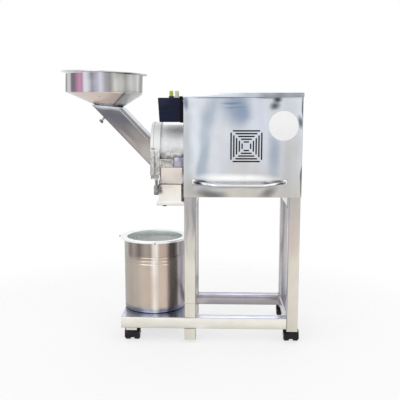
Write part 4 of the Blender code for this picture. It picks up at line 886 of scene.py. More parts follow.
def streaked_steel(name, centre, layers, inside, turn, patches=(), dull_below=None, dull_inside=False):
    """Round shell with painted streaks of reflection: each layer is (from height in mm, fade in mm, stops),
    lowest first.

    The streaks are turned by so many degrees, because the camera sees the shell from its right.
    Below a height, or inside, the sheet may be only brushed, and loses most of its mirror.
    """
    material, tree, shader = new_material(name)
    place = add(tree, "ShaderNodeTexCoord").outputs["Object"]
    colour = None
    for height, fade, stops in layers:
        ramp, parts, local = angle_ramp(tree, place, (centre[0], centre[1], 0.0), stops, turn)
        if colour is None:
            colour = ramp
        else:
            share = between(tree, parts.outputs["Z"], (height - fade) * MM, (height + fade) * MM)
            colour = mixed(tree, share, colour, ramp)
    colour = painted_light_patches(tree, colour, place, patches)
    inward = inward_share(tree, local)
    # painted reflection: the inside is painted in its own lighter tone
    colour = mixed(tree, inward, colour, tint(inside))
    finish_steel(tree, shader, colour, place, 2, 0.17, 0.04, 0.25)
    if dull_inside:
        tree.links.new(between(tree, inward, 0.0, 1.0, 1.0, 0.35), shader.inputs["Metallic"])
    if dull_below is not None:
        mirror = between(tree, parts.outputs["Z"], (dull_below - 6) * MM, (dull_below + 6) * MM, 0.1, 1.0)
        tree.links.new(mirror, shader.inputs["Metallic"])
    return material


print("streaks run round a shell from -180 to 180 degrees")

# %% [markdown]
# ## The hopper
# The bowl is rolled sheet with a straight wall, a cone that runs down to an off-centre oval mouth,
# and a flange whose edge is rolled over a wire. Such a leaning cone could be cut from a cylinder,
# but that leaves facets. Here every ring is a circle or an oval at its own height, skinned to the
# next, so the cone leans smoothly. The knee gets a small bevel and the sheet its gauge at the end.

# %% Hopper shell
HOPPER_AT = Vector((-301.0, 160.0, 841.0))
HOPPER_TILT = math.radians(2.2)
HOPPER_GAUGE = 1.2
WALL_RADIUS = 138.5
WALL_FOOT = 43.5
ROUND_STEPS = 120
lean = Matrix.Rotation(HOPPER_TILT, 3, "Y")
rolled_rim = arc((152.3, 114.8), 2.2, 200, -90, 12) + arc((142.0, 109.1), 3.5, 90, 180, 5)
hopper_profile = rolled_rim + [(WALL_RADIUS, 80.0), (WALL_RADIUS, WALL_FOOT)]

MOUTH_AT = (-284.0, 160.0)
MOUTH_RADII = (50.0, 42.0)
CHUTE_TOP = ((-336.0, 843.0), (-231.0, 833.0))
MOUTH_SLOPE = (CHUTE_TOP[1][1] - CHUTE_TOP[0][1]) / (CHUTE_TOP[1][0] - CHUTE_TOP[0][0])


def mouth_point(turn, lift):
    """Point round the oval mouth, in millimetres, lifted a little off the slope of the chute's top."""
    x = MOUTH_AT[0] + MOUTH_RADII[0] * math.cos(turn)
    y = MOUTH_AT[1] + MOUTH_RADII[1] * math.sin(turn)
    return x, y, CHUTE_TOP[0][1] + lift + (x - CHUTE_TOP[0][0]) * MOUTH_SLOPE


bm = bmesh.new()
hopper_rings = []
for radius, height in hopper_profile:
    ring = [Vector((radius * math.cos(t), radius * math.sin(t), height)) for t in once_round(ROUND_STEPS)]
    hopper_rings.append([bm.verts.new(at(*(HOPPER_AT + lean @ spot))) for spot in ring])
wall_ring = [vert.co.copy() for vert in hopper_rings[-1]]
mouth_ring = [at(*mouth_point(turn, 0.3)) for turn in once_round(ROUND_STEPS)]
for share in (0.33, 0.67, 1.0):
    hopper_rings.append([bm.verts.new(start.lerp(end, share)) for start, end in zip(wall_ring, mouth_ring)])
skin(bm, hopper_rings)
hopper = piece_from("hopper_bowl", bm, math.radians(40))
knee = hopper.modifiers.new("knee", "BEVEL")
knee.width = 2.0 * MM
knee.segments = 3
knee.limit_method = "ANGLE"
knee.angle_limit = math.radians(20)
shell = hopper.modifiers.new("sheet", "SOLIDIFY")
shell.thickness = HOPPER_GAUGE * MM
shell.offset = -1.0
print("hopper:", len(hopper.data.polygons), "faces")

# %% [markdown]
# ## The hopper's finish
# Rolled sheet shows the room as upright streaks, painted in as reflections, one of them pink from
# something coloured in the room. The cone is only brushed; its soft cream tone that ends in one dark
# streak is painted reflection and shade, and the rolled rim is an even pale grey.

# %% Hopper finish
# Painted reflections round the wall, the cone and the rim, by angle in degrees.
WALL_STREAKS = [
    (-180, "9A989C"), (-150, "8E8C92"), (-118, "BDBCC2"), (-100, "4A454B"), (-82, "2A262C"),
    (-73, "4C474E"), (-68, "BAB7B9"), (-59, "C4C0C3"), (-54, "6E696F"), (-47, "77707A"),
    (-43, "A47C95"), (-37, "C893B5"), (-32, "B08CA4"), (-29, "DCDBE0"), (-25, "D5D6DC"), (-21, "B4B5BF"),
    (-17, "85858F"), (-9, "AEAEBC"), (-4, "D3D3E2"), (2, "A6A5AB"), (9, "8F8C8B"), (15, "BDBCB6"),
    (21, "9B9A98"), (32, "96948F"), (41, "D2D2D0"), (52, "C3C1BF"), (58, "DBDAD8"), (66, "93918F"),
    (84, "5E5C5C"), (110, "B4B3B8"), (150, "C2C1C6"), (180, "9A989C"),
]
CONE_STREAKS = [
    (-180, "BDBBBE"), (-130, "A5A2A5"), (-95, "B9B0AE"), (-70, "CFC2BD"), (-30, "E2D1C6"), (0, "E8D4C7"),
    (25, "DCCABF"), (29, "9A9390"), (31, "5D5B5F"), (33, "B9B8B8"), (58, "DCDCDD"), (80, "EDEDEE"),
    (100, "D5D5D9"), (140, "ADADB2"), (180, "BDBBBE"),
]
RIM_STREAKS = [(-180, "C9C8CC"), (0, "D3D2D4"), (180, "C9C8CC")]
hopper_steel = streaked_steel(
    "rolled_stainless_hopper", (HOPPER_AT.x, HOPPER_AT.y),
    [(0, 0, CONE_STREAKS), (885, 1.5, WALL_STREAKS), (952, 0.6, RIM_STREAKS)],
    "E8E9EB", 10.6, dull_below=888,
)
settle(hopper, hopper_steel, "hopper")
print("hopper wall with", len(WALL_STREAKS), "streaks, cone with", len(CONE_STREAKS))

# %% [markdown]
# ## Chute, cover and gate
# The chute is a folded box of sheet with a cover that clips over its upper edges. Its near side is
# painted darker just under the hopper, a painted shadow of the bowl, and warmer towards the lower
# end with painted reflections; the cover carries one dark painted streak of reflection.

# %% Chute finishes
CHUTE_PAINTED_LIGHT = [
    (-250, 800, 96, 34, 20, "62646F", 0.95),
    (-284, 838, 70, 14, 6, "D3D7E2", 1.0),
    (-215, 760, 70, 30, 46, "7A7779", 0.7),
    (-176, 736, 60, 16, 46, "97918F", 0.7),
    (-196, 716, 70, 9, 46, "A8A19D", 0.8),
    (-206, 698, 70, 6, 46, "5E5C61", 0.7),
    (-142, 662, 26, 60, 0, "B3ADA9", 0.9),
]
chute_steel = bright_steel(
    "folded_stainless_chute",
    {"low": "A8A19C", "high": "8A8584", "rise": (0.66, 0.76), "right": "B9B7B8", "left": "8D8B8E",
     "top": "B0AEB2", "under": "6E6C70", "rear": "9F9C9C"},
    upright_patches(115, 24, CHUTE_PAINTED_LIGHT), grain=0, band=0.03,
)
cover_steel = bright_steel(
    "folded_stainless_cover",
    {"low": "88878A", "high": "909196", "rise": (0.72, 0.84), "right": "77777C", "left": "A3A4AA",
     "top": "8E9096", "under": "67666B", "rear": "9A9A9F"},
    [((-176, 113, 782), (90, 20, 4), 43, "737277", 0.6)],
    grain=0, band=0.04, wear=0.9,
)
gate_steel = bright_steel(
    "sheared_stainless_gate",
    {"low": "9C9B9C", "high": "A9A8AA", "right": "8F8E91", "top": "B9B9BD", "under": "7A797B"},
    grain=0, roughness=0.3,
)
dress("chute", chute_steel, 0.5)
dress("chute_cover", cover_steel, 0.5)
dress("feed_gate", gate_steel, 0.3)
print("feed parts dressed")

# %% [markdown]
# ## Castings
# The chamber, its door, the arm and the motor adapter are sand castings in stainless steel, fettled
# with a grinder. The eye sees a mottled grey skin with grains of one to two millimetres, dark in the
# hollows and bright where the grinder went. Faces that look up are painted lighter and faces that
# look down darker, as painted light and shade. The upper chamber has a pale bead-blast finish, and
# above one height it is painted white with a ragged edge: partly that pale skin, partly a painted
# highlight of glare.

# %% Cast finish
MOTTLE_SIZE = 14 * MM
PIT_SPACING = 4.5 * MM
GROUND_WIDTH = 1.6 * MM
BLASTED_GLARE_ABOVE, BLASTED_GLARE_FADE = 668, 46


def cast_metal(name, light, dark, grain=1.6, roughness=0.42, depth=0.25, blasted_and_glare=False):
    """Sand-cast skin: mottled colour, painted light and shade by facing, gritty bump and ground edges; with
    the glare option, a pale bead-blast finish painted white higher up, partly a painted highlight.
    """
    material, tree, shader = new_material(name)
    spot = add(tree, "ShaderNodeTexCoord")
    place = spot.outputs["Object"]
    grit = stretched_noise(tree, place, [grain * MM] * 3, 3.0, 0.6)
    patch = stretched_noise(tree, place, [MOTTLE_SIZE] * 3, 4.0, 0.65)
    colour = mixed(tree, between(tree, patch, 0.36, 0.64), tint(dark), tint(light))
    pits = add(tree, "ShaderNodeTexVoronoi", {"Vector": place, "Scale": 1 / PIT_SPACING})
    pit = between(tree, pits.outputs["Distance"], 0.05, 0.35)
    colour = mixed(tree, pit, tint(dark), colour)
    look = add(tree, "ShaderNodeSeparateXYZ", {0: spot.outputs["Normal"]})
    # Painted light and shade: faces looking up are painted lighter, faces looking down darker.
    painted_facing_light = between(tree, look.outputs["Z"], -0.9, 0.9, 0.72, 1.12)
    scaled = add(tree, "ShaderNodeVectorMath", {0: colour, "Scale": painted_facing_light}, operation="SCALE")
    worn = edge_wear(tree, GROUND_WIDTH, 0.6)
    colour = mixed(tree, worn, scaled.outputs[0], tint("E4E3E0"))
    shader.inputs["Metallic"].default_value = 0.9
    # Painted highlight of glare: above one height the casting is painted white with a ragged edge, partly its
    # pale bead-blast finish, partly painted glare.
    if blasted_and_glare:
        height = add(tree, "ShaderNodeSeparateXYZ", {0: place})
        ragged = add(tree, "ShaderNodeMath", {0: patch, 1: 0.03, 2: height.outputs["Z"]},
                     operation="MULTIPLY_ADD")
        bright = between(tree, ragged.outputs[0], BLASTED_GLARE_ABOVE * MM, (BLASTED_GLARE_ABOVE + BLASTED_GLARE_FADE) * MM)
        pale = mixed(tree, between(tree, patch, 0.3, 0.7), tint("F4F6F7"), tint("FFFFFF"))
        colour = mixed(tree, bright, colour, pale)
        tree.links.new(between(tree, bright, 0.0, 1.0, 0.9, 0.05), shader.inputs["Metallic"])
    tree.links.new(colour, shader.inputs["Base Color"])
    rough = between(tree, grit, 0.3, 0.7, roughness - 0.08, roughness + 0.10)
    tree.links.new(rough, shader.inputs["Roughness"])
    relief = add(tree, "ShaderNodeBump", {"Height": grit, "Strength": depth, "Distance": 0.0008})
    tree.links.new(relief.outputs[0], shader.inputs["Normal"])
    return material


print("cast skin: mottle", MOTTLE_SIZE / MM, "mm, pits", PIT_SPACING / MM, "mm apart")

# %% [markdown]
# ## Castings and turned parts
# The same skin serves the small turned parts, with a finer grain and less relief. The bracket and
# the sheet parts inside the chamber keep the bright steel.

# %% Dress the castings and turned parts
cast_grey = cast_metal("sand_cast_stainless", "C6C4C1", "8F8C8A")
cast_blasted_with_glare = cast_metal("bead_blasted_casting_painted_glare", "D2D0CD", "A3A09E", blasted_and_glare=True)
cast_bright = cast_metal("fettled_stainless_arm", "DAD8D4", "A5A3A0")
turned_grey = cast_metal("turned_steel_small_parts", "B4B2AF", "7B797A", 0.9, 0.30, 0.1)
bracket_steel = bright_steel(
    "ground_stainless_bracket",
    {"low": "B4AEBB", "high": "8F8B9C", "rise": (0.635, 0.66), "right": "A5A1AD", "top": "8E8A9B",
     "under": "6B6874"},
    grain=0, roughness=0.25,
)
for node in ("chamber_body", "door"):
    dress(node, cast_blasted_with_glare, 0.9)
dress("chamber_arm", cast_bright, 0.4)
dress("arm_bracket", bracket_steel, 0.4)
dress("chamber_adapter", cast_grey, 0.8)
for node in ("hinge_pin", "swing_bolt_front", "swing_bolt_rear", "rotor", "motor_shaft", "liner"):
    dress(node, turned_grey, 0.4)
for node in ("clamp_knob_front", "clamp_knob_rear"):
    dress(node, turned_grey, 0.5)
dress("sieve", gate_steel, 0.2)
dress("motor_plate", gate_steel, 0.5)
print("castings and turned parts dressed")

# %% [markdown]
# ## Discharge
# Powder leaves through a folded duct and a slip-on sleeve. Both face the pale floor and are painted
# almost cream, a painted reflection of it, the duct a little pinker than the sleeve, with two darker
# patches near the duct's top.

# %% Discharge finishes
duct_steel = bright_steel(
    "folded_stainless_duct",
    {"low": "E6DED7", "high": "E4DAD2", "rise": (0.56, 0.63), "right": "B9B0AB", "left": "C2BAB5",
     "top": "DAD5D0", "under": "8E8883", "rear": "C5BDB8"},
    [((-22, 110, 590), (26, 30, 30), 0, "D6C9C2", 0.6), ((-5, 110, 600), (8, 30, 60), 0, "C9BEB8", 0.7)],
    band=0.02,
)
sleeve_steel = bright_steel(
    "folded_stainless_sleeve",
    {"low": "E9E6E1", "high": "DFD7CE", "rise": (0.50, 0.56), "right": "B5B0AC", "left": "CFCAC4",
     "top": "E9E7E4", "under": "918D89", "rear": "CFCBC6"},
    [((-60, 102, 546), (30, 20, 8), 0, "D8CCC2", 0.6)], band=0.02,
)
dress("discharge_duct", duct_steel, 0.5)
dress("discharge_sleeve", sleeve_steel, 0.4)
print("discharge dressed")

# %% [markdown]
# ## The collecting drum
# The drum is a deep can with three pressed grooves below its top. Its wall follows a rule, one
# radius with a smooth dip at each groove, because a pressed groove has no sharp corner anywhere. So
# a geometry tree bends a flat grid into the wall: every row of the grid becomes a circle, drawn in
# by the dip of the nearest groove. The can's foot and its inside are turned outlines.

# %% Grooved wall tree
wall_tree, sizes = new_geometry_tree("grooved_wall", {
    "Radius": ("Float", 0.1), "Foot": ("Float", 0.0), "Top": ("Float", 0.3),
    "Groove Depth": ("Float", 0.0015), "Groove Half Width": ("Float", 0.004),
    "First Groove": ("Float", 0.2), "Groove Pitch": ("Float", 0.012), "Last Groove": ("Int", 2),
    "Steps": ("Int", 120), "Rows": ("Int", 200), "Centre": ("Vector", None)})


def figure(operation, first, second=0.0, third=0.0):
    """Result of one sum in the wall's tree."""
    return add(wall_tree, "ShaderNodeMath", {0: first, 1: second, 2: third}, operation=operation).outputs[0]


columns = figure("ADD", sizes["Steps"], 1.0)
grid = add(wall_tree, "GeometryNodeMeshGrid",
           {"Size X": 1.0, "Size Y": 1.0, "Vertices Y": sizes["Rows"], "Vertices X": columns})
spread = add(wall_tree, "ShaderNodeSeparateXYZ", {0: add(wall_tree, "GeometryNodeInputPosition").outputs[0]})
angle = figure("MULTIPLY", figure("ADD", spread.outputs["X"], 0.5), 2 * math.pi)
level = figure("MULTIPLY_ADD", figure("ADD", spread.outputs["Y"], 0.5),
               figure("SUBTRACT", sizes["Top"], sizes["Foot"]), sizes["Foot"])
climb = figure("SUBTRACT", level, sizes["First Groove"])
nearest = figure("ROUND", figure("DIVIDE", climb, sizes["Groove Pitch"]))
nearest = figure("MINIMUM", figure("MAXIMUM", nearest, 0.0), sizes["Last Groove"])
off = figure("SUBTRACT", climb, figure("MULTIPLY", nearest, sizes["Groove Pitch"]))
off = figure("MINIMUM", figure("ABSOLUTE", figure("DIVIDE", off, sizes["Groove Half Width"])), 1.0)
dip = figure("MULTIPLY_ADD", figure("COSINE", figure("MULTIPLY", off, math.pi)), 0.5, 0.5)
drawn_in = figure("SUBTRACT", sizes["Radius"], figure("MULTIPLY", dip, sizes["Groove Depth"]))
wall_spot = add(wall_tree, "ShaderNodeCombineXYZ", {
    "X": figure("MULTIPLY", drawn_in, figure("COSINE", angle)),
    "Y": figure("MULTIPLY", drawn_in, figure("SINE", angle)), "Z": level})
wall_spot = add(wall_tree, "ShaderNodeVectorMath", {0: wall_spot.outputs[0], 1: sizes["Centre"]},
                operation="ADD")
bent = add(wall_tree, "GeometryNodeSetPosition",
           {"Geometry": grid.outputs["Mesh"], "Position": wall_spot.outputs[0]})
wall = add(wall_tree, "GeometryNodeMergeByDistance", {"Geometry": bent.outputs[0], "Distance": MERGE})
close_geometry_tree(wall_tree, sizes, wall.outputs[0])
print("the grooved wall grows from", len(wall_tree.nodes), "nodes")

# %% [markdown]
# ## The can
# The tree is given the drum's sizes and grows the outside of the wall. The foot and the inside are
# turned outlines, welded to it into one closed skin. The wall is 2.7 mm thick: 1.2 mm of sheet, and
# the 1.5 mm by which the grooves dip in.

# %% Drum can
DRUM_AT = (-119.0, 151.0)
DRUM_RADIUS = 113.0
DRUM_WALL = 2.7
DRUM_FOOT, DRUM_TOP = 101.0, 358.0
GROOVES = (275.0, 287.0, 299.0)
GROOVE_DEPTH = 1.5
GROOVE_HALF = 2.6
WALL_ROWS = 206
inner_radius = DRUM_RADIUS - DRUM_WALL
drum_axis = at(*DRUM_AT, 0)

wall_mesh = grown("drum_wall", wall_tree, bpy.data.meshes.new("empty_start"), {
    "Radius": DRUM_RADIUS * MM, "Foot": DRUM_FOOT * MM, "Top": DRUM_TOP * MM,
    "Groove Depth": GROOVE_DEPTH * MM, "Groove Half Width": GROOVE_HALF * MM,
    "First Groove": GROOVES[0] * MM, "Groove Pitch": (GROOVES[1] - GROOVES[0]) * MM,
    "Last Groove": len(GROOVES) - 1, "Steps": ROUND_STEPS, "Rows": WALL_ROWS, "Centre": drum_axis})
foot_outline = [(DRUM_RADIUS, DRUM_FOOT), (DRUM_RADIUS - 0.8, 99.6), (DRUM_RADIUS, 98.2)]
foot_outline += arc((DRUM_RADIUS - 3.6, 97.4), 3.6, 0, -90, 5) + [(0.0, 93.8)]
inner_outline = [
    (0.0, 95.0), (inner_radius - 4, 95.0), (inner_radius - 1.2, 96.2), (inner_radius, 99.0),
    (inner_radius, DRUM_TOP), (DRUM_RADIUS, DRUM_TOP),
]
bm = lathed(foot_outline, drum_axis, steps=ROUND_STEPS)
take_in(bm, lathed(inner_outline, drum_axis, steps=ROUND_STEPS))
bm.from_mesh(wall_mesh)
bmesh.ops.remove_doubles(bm, verts=bm.verts, dist=MERGE)
bmesh.ops.recalc_face_normals(bm, faces=bm.faces)
print("open edges on the drum:", sum(1 for edge in bm.edges if len(edge.link_faces) != 2))
drum = piece_from("drum_can", bm)

# %% [markdown]
# ## The drum's collar
# The collar is spun from aluminium sheet: a flat flange with a rolled lip, turned down inside the
# can. One closed outline turned round the drum's axis gives both its faces at once.

# %% Drum collar
collar_outline = (
    [(125.6, 354.2), (127.0, 354.0)] + arc((125.2, 358.2), 1.8, 0, 90, 4) + [(108.0, 360.0)]
    + arc((105.0, 357.0), 3.0, 90, 180, 4) + [(102.0, 342.2), (103.4, 342.2), (103.4, 356.4)]
    + arc((105.0, 357.1), 1.5, 180, 90, 3) + [(124.0, 358.5), (125.6, 357.4)]
)
collar = piece_from("drum_collar_spun", lathed(collar_outline, drum_axis, steps=ROUND_STEPS, ring=True))
print("drum:", len(drum.data.polygons), "faces, collar:", len(collar.data.polygons))

# %% [markdown]
# ## The drum's finish
# The drum's wall mirrors the room in cream and grey streaks of painted reflection, with one painted
# highlight line where it faces the camera and a warm painted reflection in front, and a band near its
# foot is a painted reflection of the tray instead. Above the grooves the painted streaks are darker. The
# inside is only brushed and painted nearly white, a painted reflection of the white room.

# %% Drum finish
LOWER_STREAKS = [
    (-180, "A39C96"), (-140, "C3BBB3"), (-100, "8C857E"), (-80, "87807A"), (-62, "A59C93"), (-48, "ABA197"),
    (-36, "B7ABA0"), (-22, "C3B6A9"), (-10, "BFB1A4"), (-6, "D9CEC3"), (-2, "F6F2EC"), (3, "E3D9CE"),
    (7, "CFBFB1"), (24, "CAB8A8"), (28, "A89A8E"), (33, "6C645E"), (44, "625B57"), (47, "9C9696"),
    (53, "BDBAC0"), (60, "8A878B"), (72, "A6A3A5"), (90, "8F8B8A"), (130, "C0B9B2"), (180, "A39C96"),
]
UPPER_STREAKS = [
    (-180, "8E8883"), (-120, "A9A29C"), (-80, "7B746F"), (-64, "A9A19A"), (-52, "766E6A"), (-42, "9B918B"),
    (-30, "6F6762"), (-18, "A59A92"), (-8, "9A8D85"), (-4, "D8D0C9"), (3, "EFEAE5"), (8, "BBA99E"),
    (24, "B5A397"), (29, "7D736C"), (36, "4E4845"), (44, "6E6866"), (48, "A6A2A2"), (60, "8B8786"),
    (90, "7F7A78"), (140, "A8A19B"), (180, "8E8883"),
]
FOOT_STREAKS = [
    (-180, "7C7F8C"), (-90, "5E616E"), (-60, "6B6F7D"), (-30, "777B8A"), (-8, "A9ABB7"), (0, "F4F4F6"),
    (8, "8E90A0"), (35, "5A5C69"), (60, "8F92A2"), (120, "7C7F8C"), (180, "7C7F8C"),
]
drum_steel = streaked_steel(
    "deep_drawn_stainless_drum", DRUM_AT,
    [(0, 0, FOOT_STREAKS), (110, 9, LOWER_STREAKS), (293, 16, UPPER_STREAKS)], "F6F9F8", 6.1,
    [((-119, 38, 190), (60, 30, 70), 0, "CDB9A9", 0.35)], dull_inside=True,
)
settle(drum, drum_steel, "drum_body")
print("drum streaks:", len(FOOT_STREAKS), len(LOWER_STREAKS), len(UPPER_STREAKS), "from the foot up")

# %% [markdown]
# ## Collar and tray
# The collar is unpolished aluminium with the fine rings that the spinning tool leaves. Noise read
# by the distance from the drum's axis gives them. Real ones are about 0.3 mm apart, here 0.9 mm, so
# that they can be seen. The tray is plain sheet with a dark painted reflection of the drum's foot
# and a pale painted reflection near its left end.

# %% Collar and tray
SPUN_RING = 0.9 * MM


def spun_metal(name, hex_code, inside, centre):
    """Spun sheet: fine rings round an upright axis."""
    material, tree, shader = new_material(name)
    place = add(tree, "ShaderNodeTexCoord").outputs["Object"]
    local = add(tree, "ShaderNodeVectorMath", {0: place, 1: at(*centre, 0)}, operation="SUBTRACT")
    flat = add(tree, "ShaderNodeVectorMath", {0: local.outputs[0], 1: (1.0, 1.0, 0.35)}, operation="MULTIPLY")
    out = add(tree, "ShaderNodeVectorMath", {0: flat.outputs[0]}, operation="LENGTH")
    noise = add(tree, "ShaderNodeTexNoise",
                {"W": out.outputs["Value"], "Scale": 1 / SPUN_RING, "Detail": 2.0}, noise_dimensions="1D")
    rings = noise.outputs["Fac"]
    cloud = stretched_noise(tree, place, [40 * MM] * 3)
    ring_tone = between(tree, rings, 0.3, 0.7, 0.965, 1.0)
    cloud_tone = between(tree, cloud, 0.3, 0.7, 0.96, 1.0)
    tone = add(tree, "ShaderNodeMath", {0: ring_tone, 1: cloud_tone}, operation="MULTIPLY")
    inward = inward_share(tree, local.outputs[0])
    base = mixed(tree, inward, tint(hex_code), tint(inside))
    scaled = add(tree, "ShaderNodeVectorMath", {0: base, "Scale": tone.outputs[0]}, operation="SCALE")
    tree.links.new(scaled.outputs[0], shader.inputs["Base Color"])
    shader.inputs["Metallic"].default_value = 0.75
    tree.links.new(between(tree, rings, 0.3, 0.7, 0.26, 0.40), shader.inputs["Roughness"])
    relief = add(tree, "ShaderNodeBump", {"Height": rings, "Strength": 0.12, "Distance": 0.0003})
    tree.links.new(relief.outputs[0], shader.inputs["Normal"])
    return material


settle(collar, spun_metal("spun_aluminium_collar", "F3F6F4", "DCE5E2", DRUM_AT), "drum_collar")
# Painted reflections on the tray: the drum's foot dark, a pale patch near the left end.
tray_steel = bright_steel(
    "sheared_stainless_tray",
    {"low": "CFCFD2", "high": "D6D6DA", "right": "B1B1B8", "top": "C4C8D6", "under": "77767C"},
    [((-119, 100, 93), (112, 90, 10), 0, "6F7484", 0.45), ((-210, 20, 93), (30, 40, 10), 0, "E4E6EE", 0.8)],
    grain=0, band=0.04,
)
dress("drum_tray", tray_steel, 0.2)
print("drum, collar and tray dressed")

# %% [markdown]
# ## Moulded plastic and paint
# The starter box and the castors are injection moulded. Moulded plastic is one even colour all the
# way through, with a very fine leathery skin, and rubbed edges look a little paler. The start button
# is yellow-green, the stop button ivory. The motor wears a semi-matt enamel. One function serves
# them all, because they differ only in colour, gloss and how coarse their skin is.

# %% Plastic and enamel finishes
PLASTIC_IOR = 1.49
SCUFF_SIZE = (30 * MM, 30 * MM, 12 * MM)
RUBBED_WIDTH = 0.9 * MM


def moulded(name, hex_code, roughness, worn_hex, skin_mm=0.9, depth=0.08, coat=0.0, gloss=0.5, blotch=0.14):
    """Moulded plastic or enamel with a fine skin and rubbed edges."""
    material, tree, shader = new_material(name)
    place = add(tree, "ShaderNodeTexCoord").outputs["Object"]
    leather = stretched_noise(tree, place, [skin_mm * MM] * 3, 2.0)
    scuff = stretched_noise(tree, place, SCUFF_SIZE, 4.0, 0.65)
    tone = between(tree, scuff, 0.3, 0.7, 1.0 - blotch, 1.0 + blotch)
    base = add(tree, "ShaderNodeVectorMath", {0: tint(hex_code)[:3], "Scale": tone}, operation="SCALE")
    worn = edge_wear(tree, RUBBED_WIDTH, 0.5)
    tree.links.new(mixed(tree, worn, base.outputs[0], tint(worn_hex)), shader.inputs["Base Color"])
    dull = between(tree, scuff, 0.3, 0.7, roughness - 0.06, roughness + 0.10)
    tree.links.new(dull, shader.inputs["Roughness"])
    shader.inputs["IOR"].default_value = PLASTIC_IOR
    shader.inputs["Specular IOR Level"].default_value = gloss
    shader.inputs["Coat Weight"].default_value = coat
    shader.inputs["Coat Roughness"].default_value = 0.15
    relief = add(tree, "ShaderNodeBump", {"Height": leather, "Strength": depth, "Distance": 0.0004})
    tree.links.new(relief.outputs[0], shader.inputs["Normal"])
    return material


castor_black = moulded("moulded_nylon_castor", "18161C", 0.30, "77757E", gloss=0.25)
tread_black = moulded("moulded_rubber_tread", "121115", 0.55, "3A393E", 1.3, 0.15, gloss=0.15)
starter_navy = moulded("moulded_abs_starter_case", "161D33", 0.22, "4A536C", 0.9, 0.04, gloss=0.12)
base_black = moulded("moulded_abs_starter_base", "0C0D16", 0.40, "2A2C38", 0.9, 0.06, gloss=0.1)
start_green = moulded("moulded_abs_start_button", "B9C145", 0.30, "DDE38C", 0.9, 0.04, 0.2)
stop_ivory = moulded("moulded_abs_stop_button", "D8D2C0", 0.30, "F0ECE0", 0.9, 0.04, 0.2)
motor_enamel = moulded("semi_matt_motor_enamel", "3C4A57", 0.45, "7E8B96", 1.6, 0.12)
knob_grey = moulded("moulded_phenolic_knob", "8C8986", 0.32, "B7B3AF")
print("plastics and enamel ready:", base_black.name, start_green.name, stop_ivory.name, motor_enamel.name)

# %% [markdown]
# ## Which part wears which plastic
# Castor hoods are nylon and their wheels have rubber treads. The motor, its shield and its cowl are
# enamelled metal, and its fan is the same black nylon as the castors.

# %% Dress the plastic and enamelled parts
for row in ("front", "rear"):
    for side in ("left", "right"):
        dress(f"castor_hood_{row}_{side}", castor_black, 0.7)
        dress(f"castor_wheels_{row}_{side}", tread_black, 0.7)
dress("starter_box", starter_navy, 0.5)
dress("start_button", start_green, 0.3)
dress("stop_button", stop_ivory, 0.3)
dress("gate_knob", knob_grey, 0.3)
for node in ("motor_body", "motor_end_shield", "fan_cowl"):
    dress(node, motor_enamel, 0.6)
dress("cooling_fan", castor_black, 0.4)
print("plastic and enamel parts dressed")

# %% [markdown]
# ## Welds
# The frame is stick-welded tube. Every joint has a bead of overlapping ripples, browned by the heat
# and only partly brushed clean. Real ripples are about 1 mm apart; here they are 2.4 mm apart, so
# that they can be seen.

# %% Weld beads
weld_metal = cast_metal("heat_tinted_weld", "BDB2A4", "6F6358", 0.8, 0.38, 0.15)
TUBE = 40
STAND_LONG, STAND_DEEP = 402, 320
RIGHT_LEG = STAND_LONG - TUBE
RAIL_FOOT, RAIL_TOP = 52, 92
TRAY_RAIL_END = -227.2
TOP_RAIL_FOOT, TOP_RAIL_TOP = 486, 526
PROUD = 0.2
RING_STEPS = 32


def weld(name, paths, node, radius=1.2, pitch=2.4):
    """Rippled weld bead along paths."""
    values = {"Ripple Pitch": pitch * MM, "Bead Radius": radius * MM, "Seed": RIPPLE_SEED,
              "Finish": weld_metal}
    grown_piece(name, ripple_tree, paths_mesh(name, paths), values, node)


def loop_round(axis, level, first, second):
    """Closed path round a tube along X, Y or Z; first and second are its limits on the other two axes."""
    (a0, a1), (b0, b1) = first, second
    return [raised(pair, axis, level) for pair in ((a0, b0), (a1, b0), (a1, b1), (a0, b1), (a0, b0))]


def ring_path(x, y, z, radius):
    """Closed circle in the plane of the front panel."""
    turns = once_round(RING_STEPS) + [2 * math.pi]
    return [(x + radius * math.cos(t), y, z + radius * math.sin(t)) for t in turns]


frame_joints = []
over_rail, under_rail = RAIL_TOP + PROUD, RAIL_FOOT - PROUD
for y0, y1 in ((0, TUBE), (STAND_DEEP - TUBE, STAND_DEEP)):
    frame_joints += [
        [(0, y0, over_rail), (TUBE, y0, over_rail), (TUBE, y1, over_rail), (0, y1, over_rail)],
        loop_round("Z", under_rail, (0, TUBE), (y0, y1)),
        loop_round("X", RIGHT_LEG - PROUD / 2, (y0, y1), (RAIL_FOOT, RAIL_TOP)),
    ]
for y in (TUBE + PROUD, STAND_DEEP - TUBE - PROUD):
    frame_joints += [
        loop_round("Y", y, (TRAY_RAIL_END, TRAY_RAIL_END + TUBE), (RAIL_FOOT, RAIL_TOP)),
        loop_round("Y", y, (RIGHT_LEG, STAND_LONG), (RAIL_FOOT, RAIL_TOP)),
        loop_round("Y", y, (0, TUBE), (TOP_RAIL_FOOT, TOP_RAIL_TOP)),
        loop_round("Y", y, (RIGHT_LEG, STAND_LONG), (TOP_RAIL_FOOT, TOP_RAIL_TOP)),
    ]
weld("frame_welds", frame_joints, "leg_front_left")
leg_joint = [(0, 20, 145), (0, 0, 145), (40, 0, 145), (40, 20, 145)]
weld("leg_joint_weld", [leg_joint], "leg_front_left", 0.9, 2.0)
weld("handle_welds", [ring_path(x, -2.0, 580, 9.6) for x in (36, 345)], "front_handle", 1.6)
mouth_path = [mouth_point(turn, 0.4) for turn in once_round(48) + [2 * math.pi]]
weld("hopper_mouth_weld", [mouth_path], "hopper", 1.0, 2.0)
print("weld paths on the frame:", len(frame_joints))

# %% [markdown]
# ## Screws, bolts and rivets
# The side sheets are held by pan-head screws, the chamber's flange by hexagon bolts. The hopper has a
# blind rivet in its cone, and the drum's collar is held by four studs that stand out like short pegs.

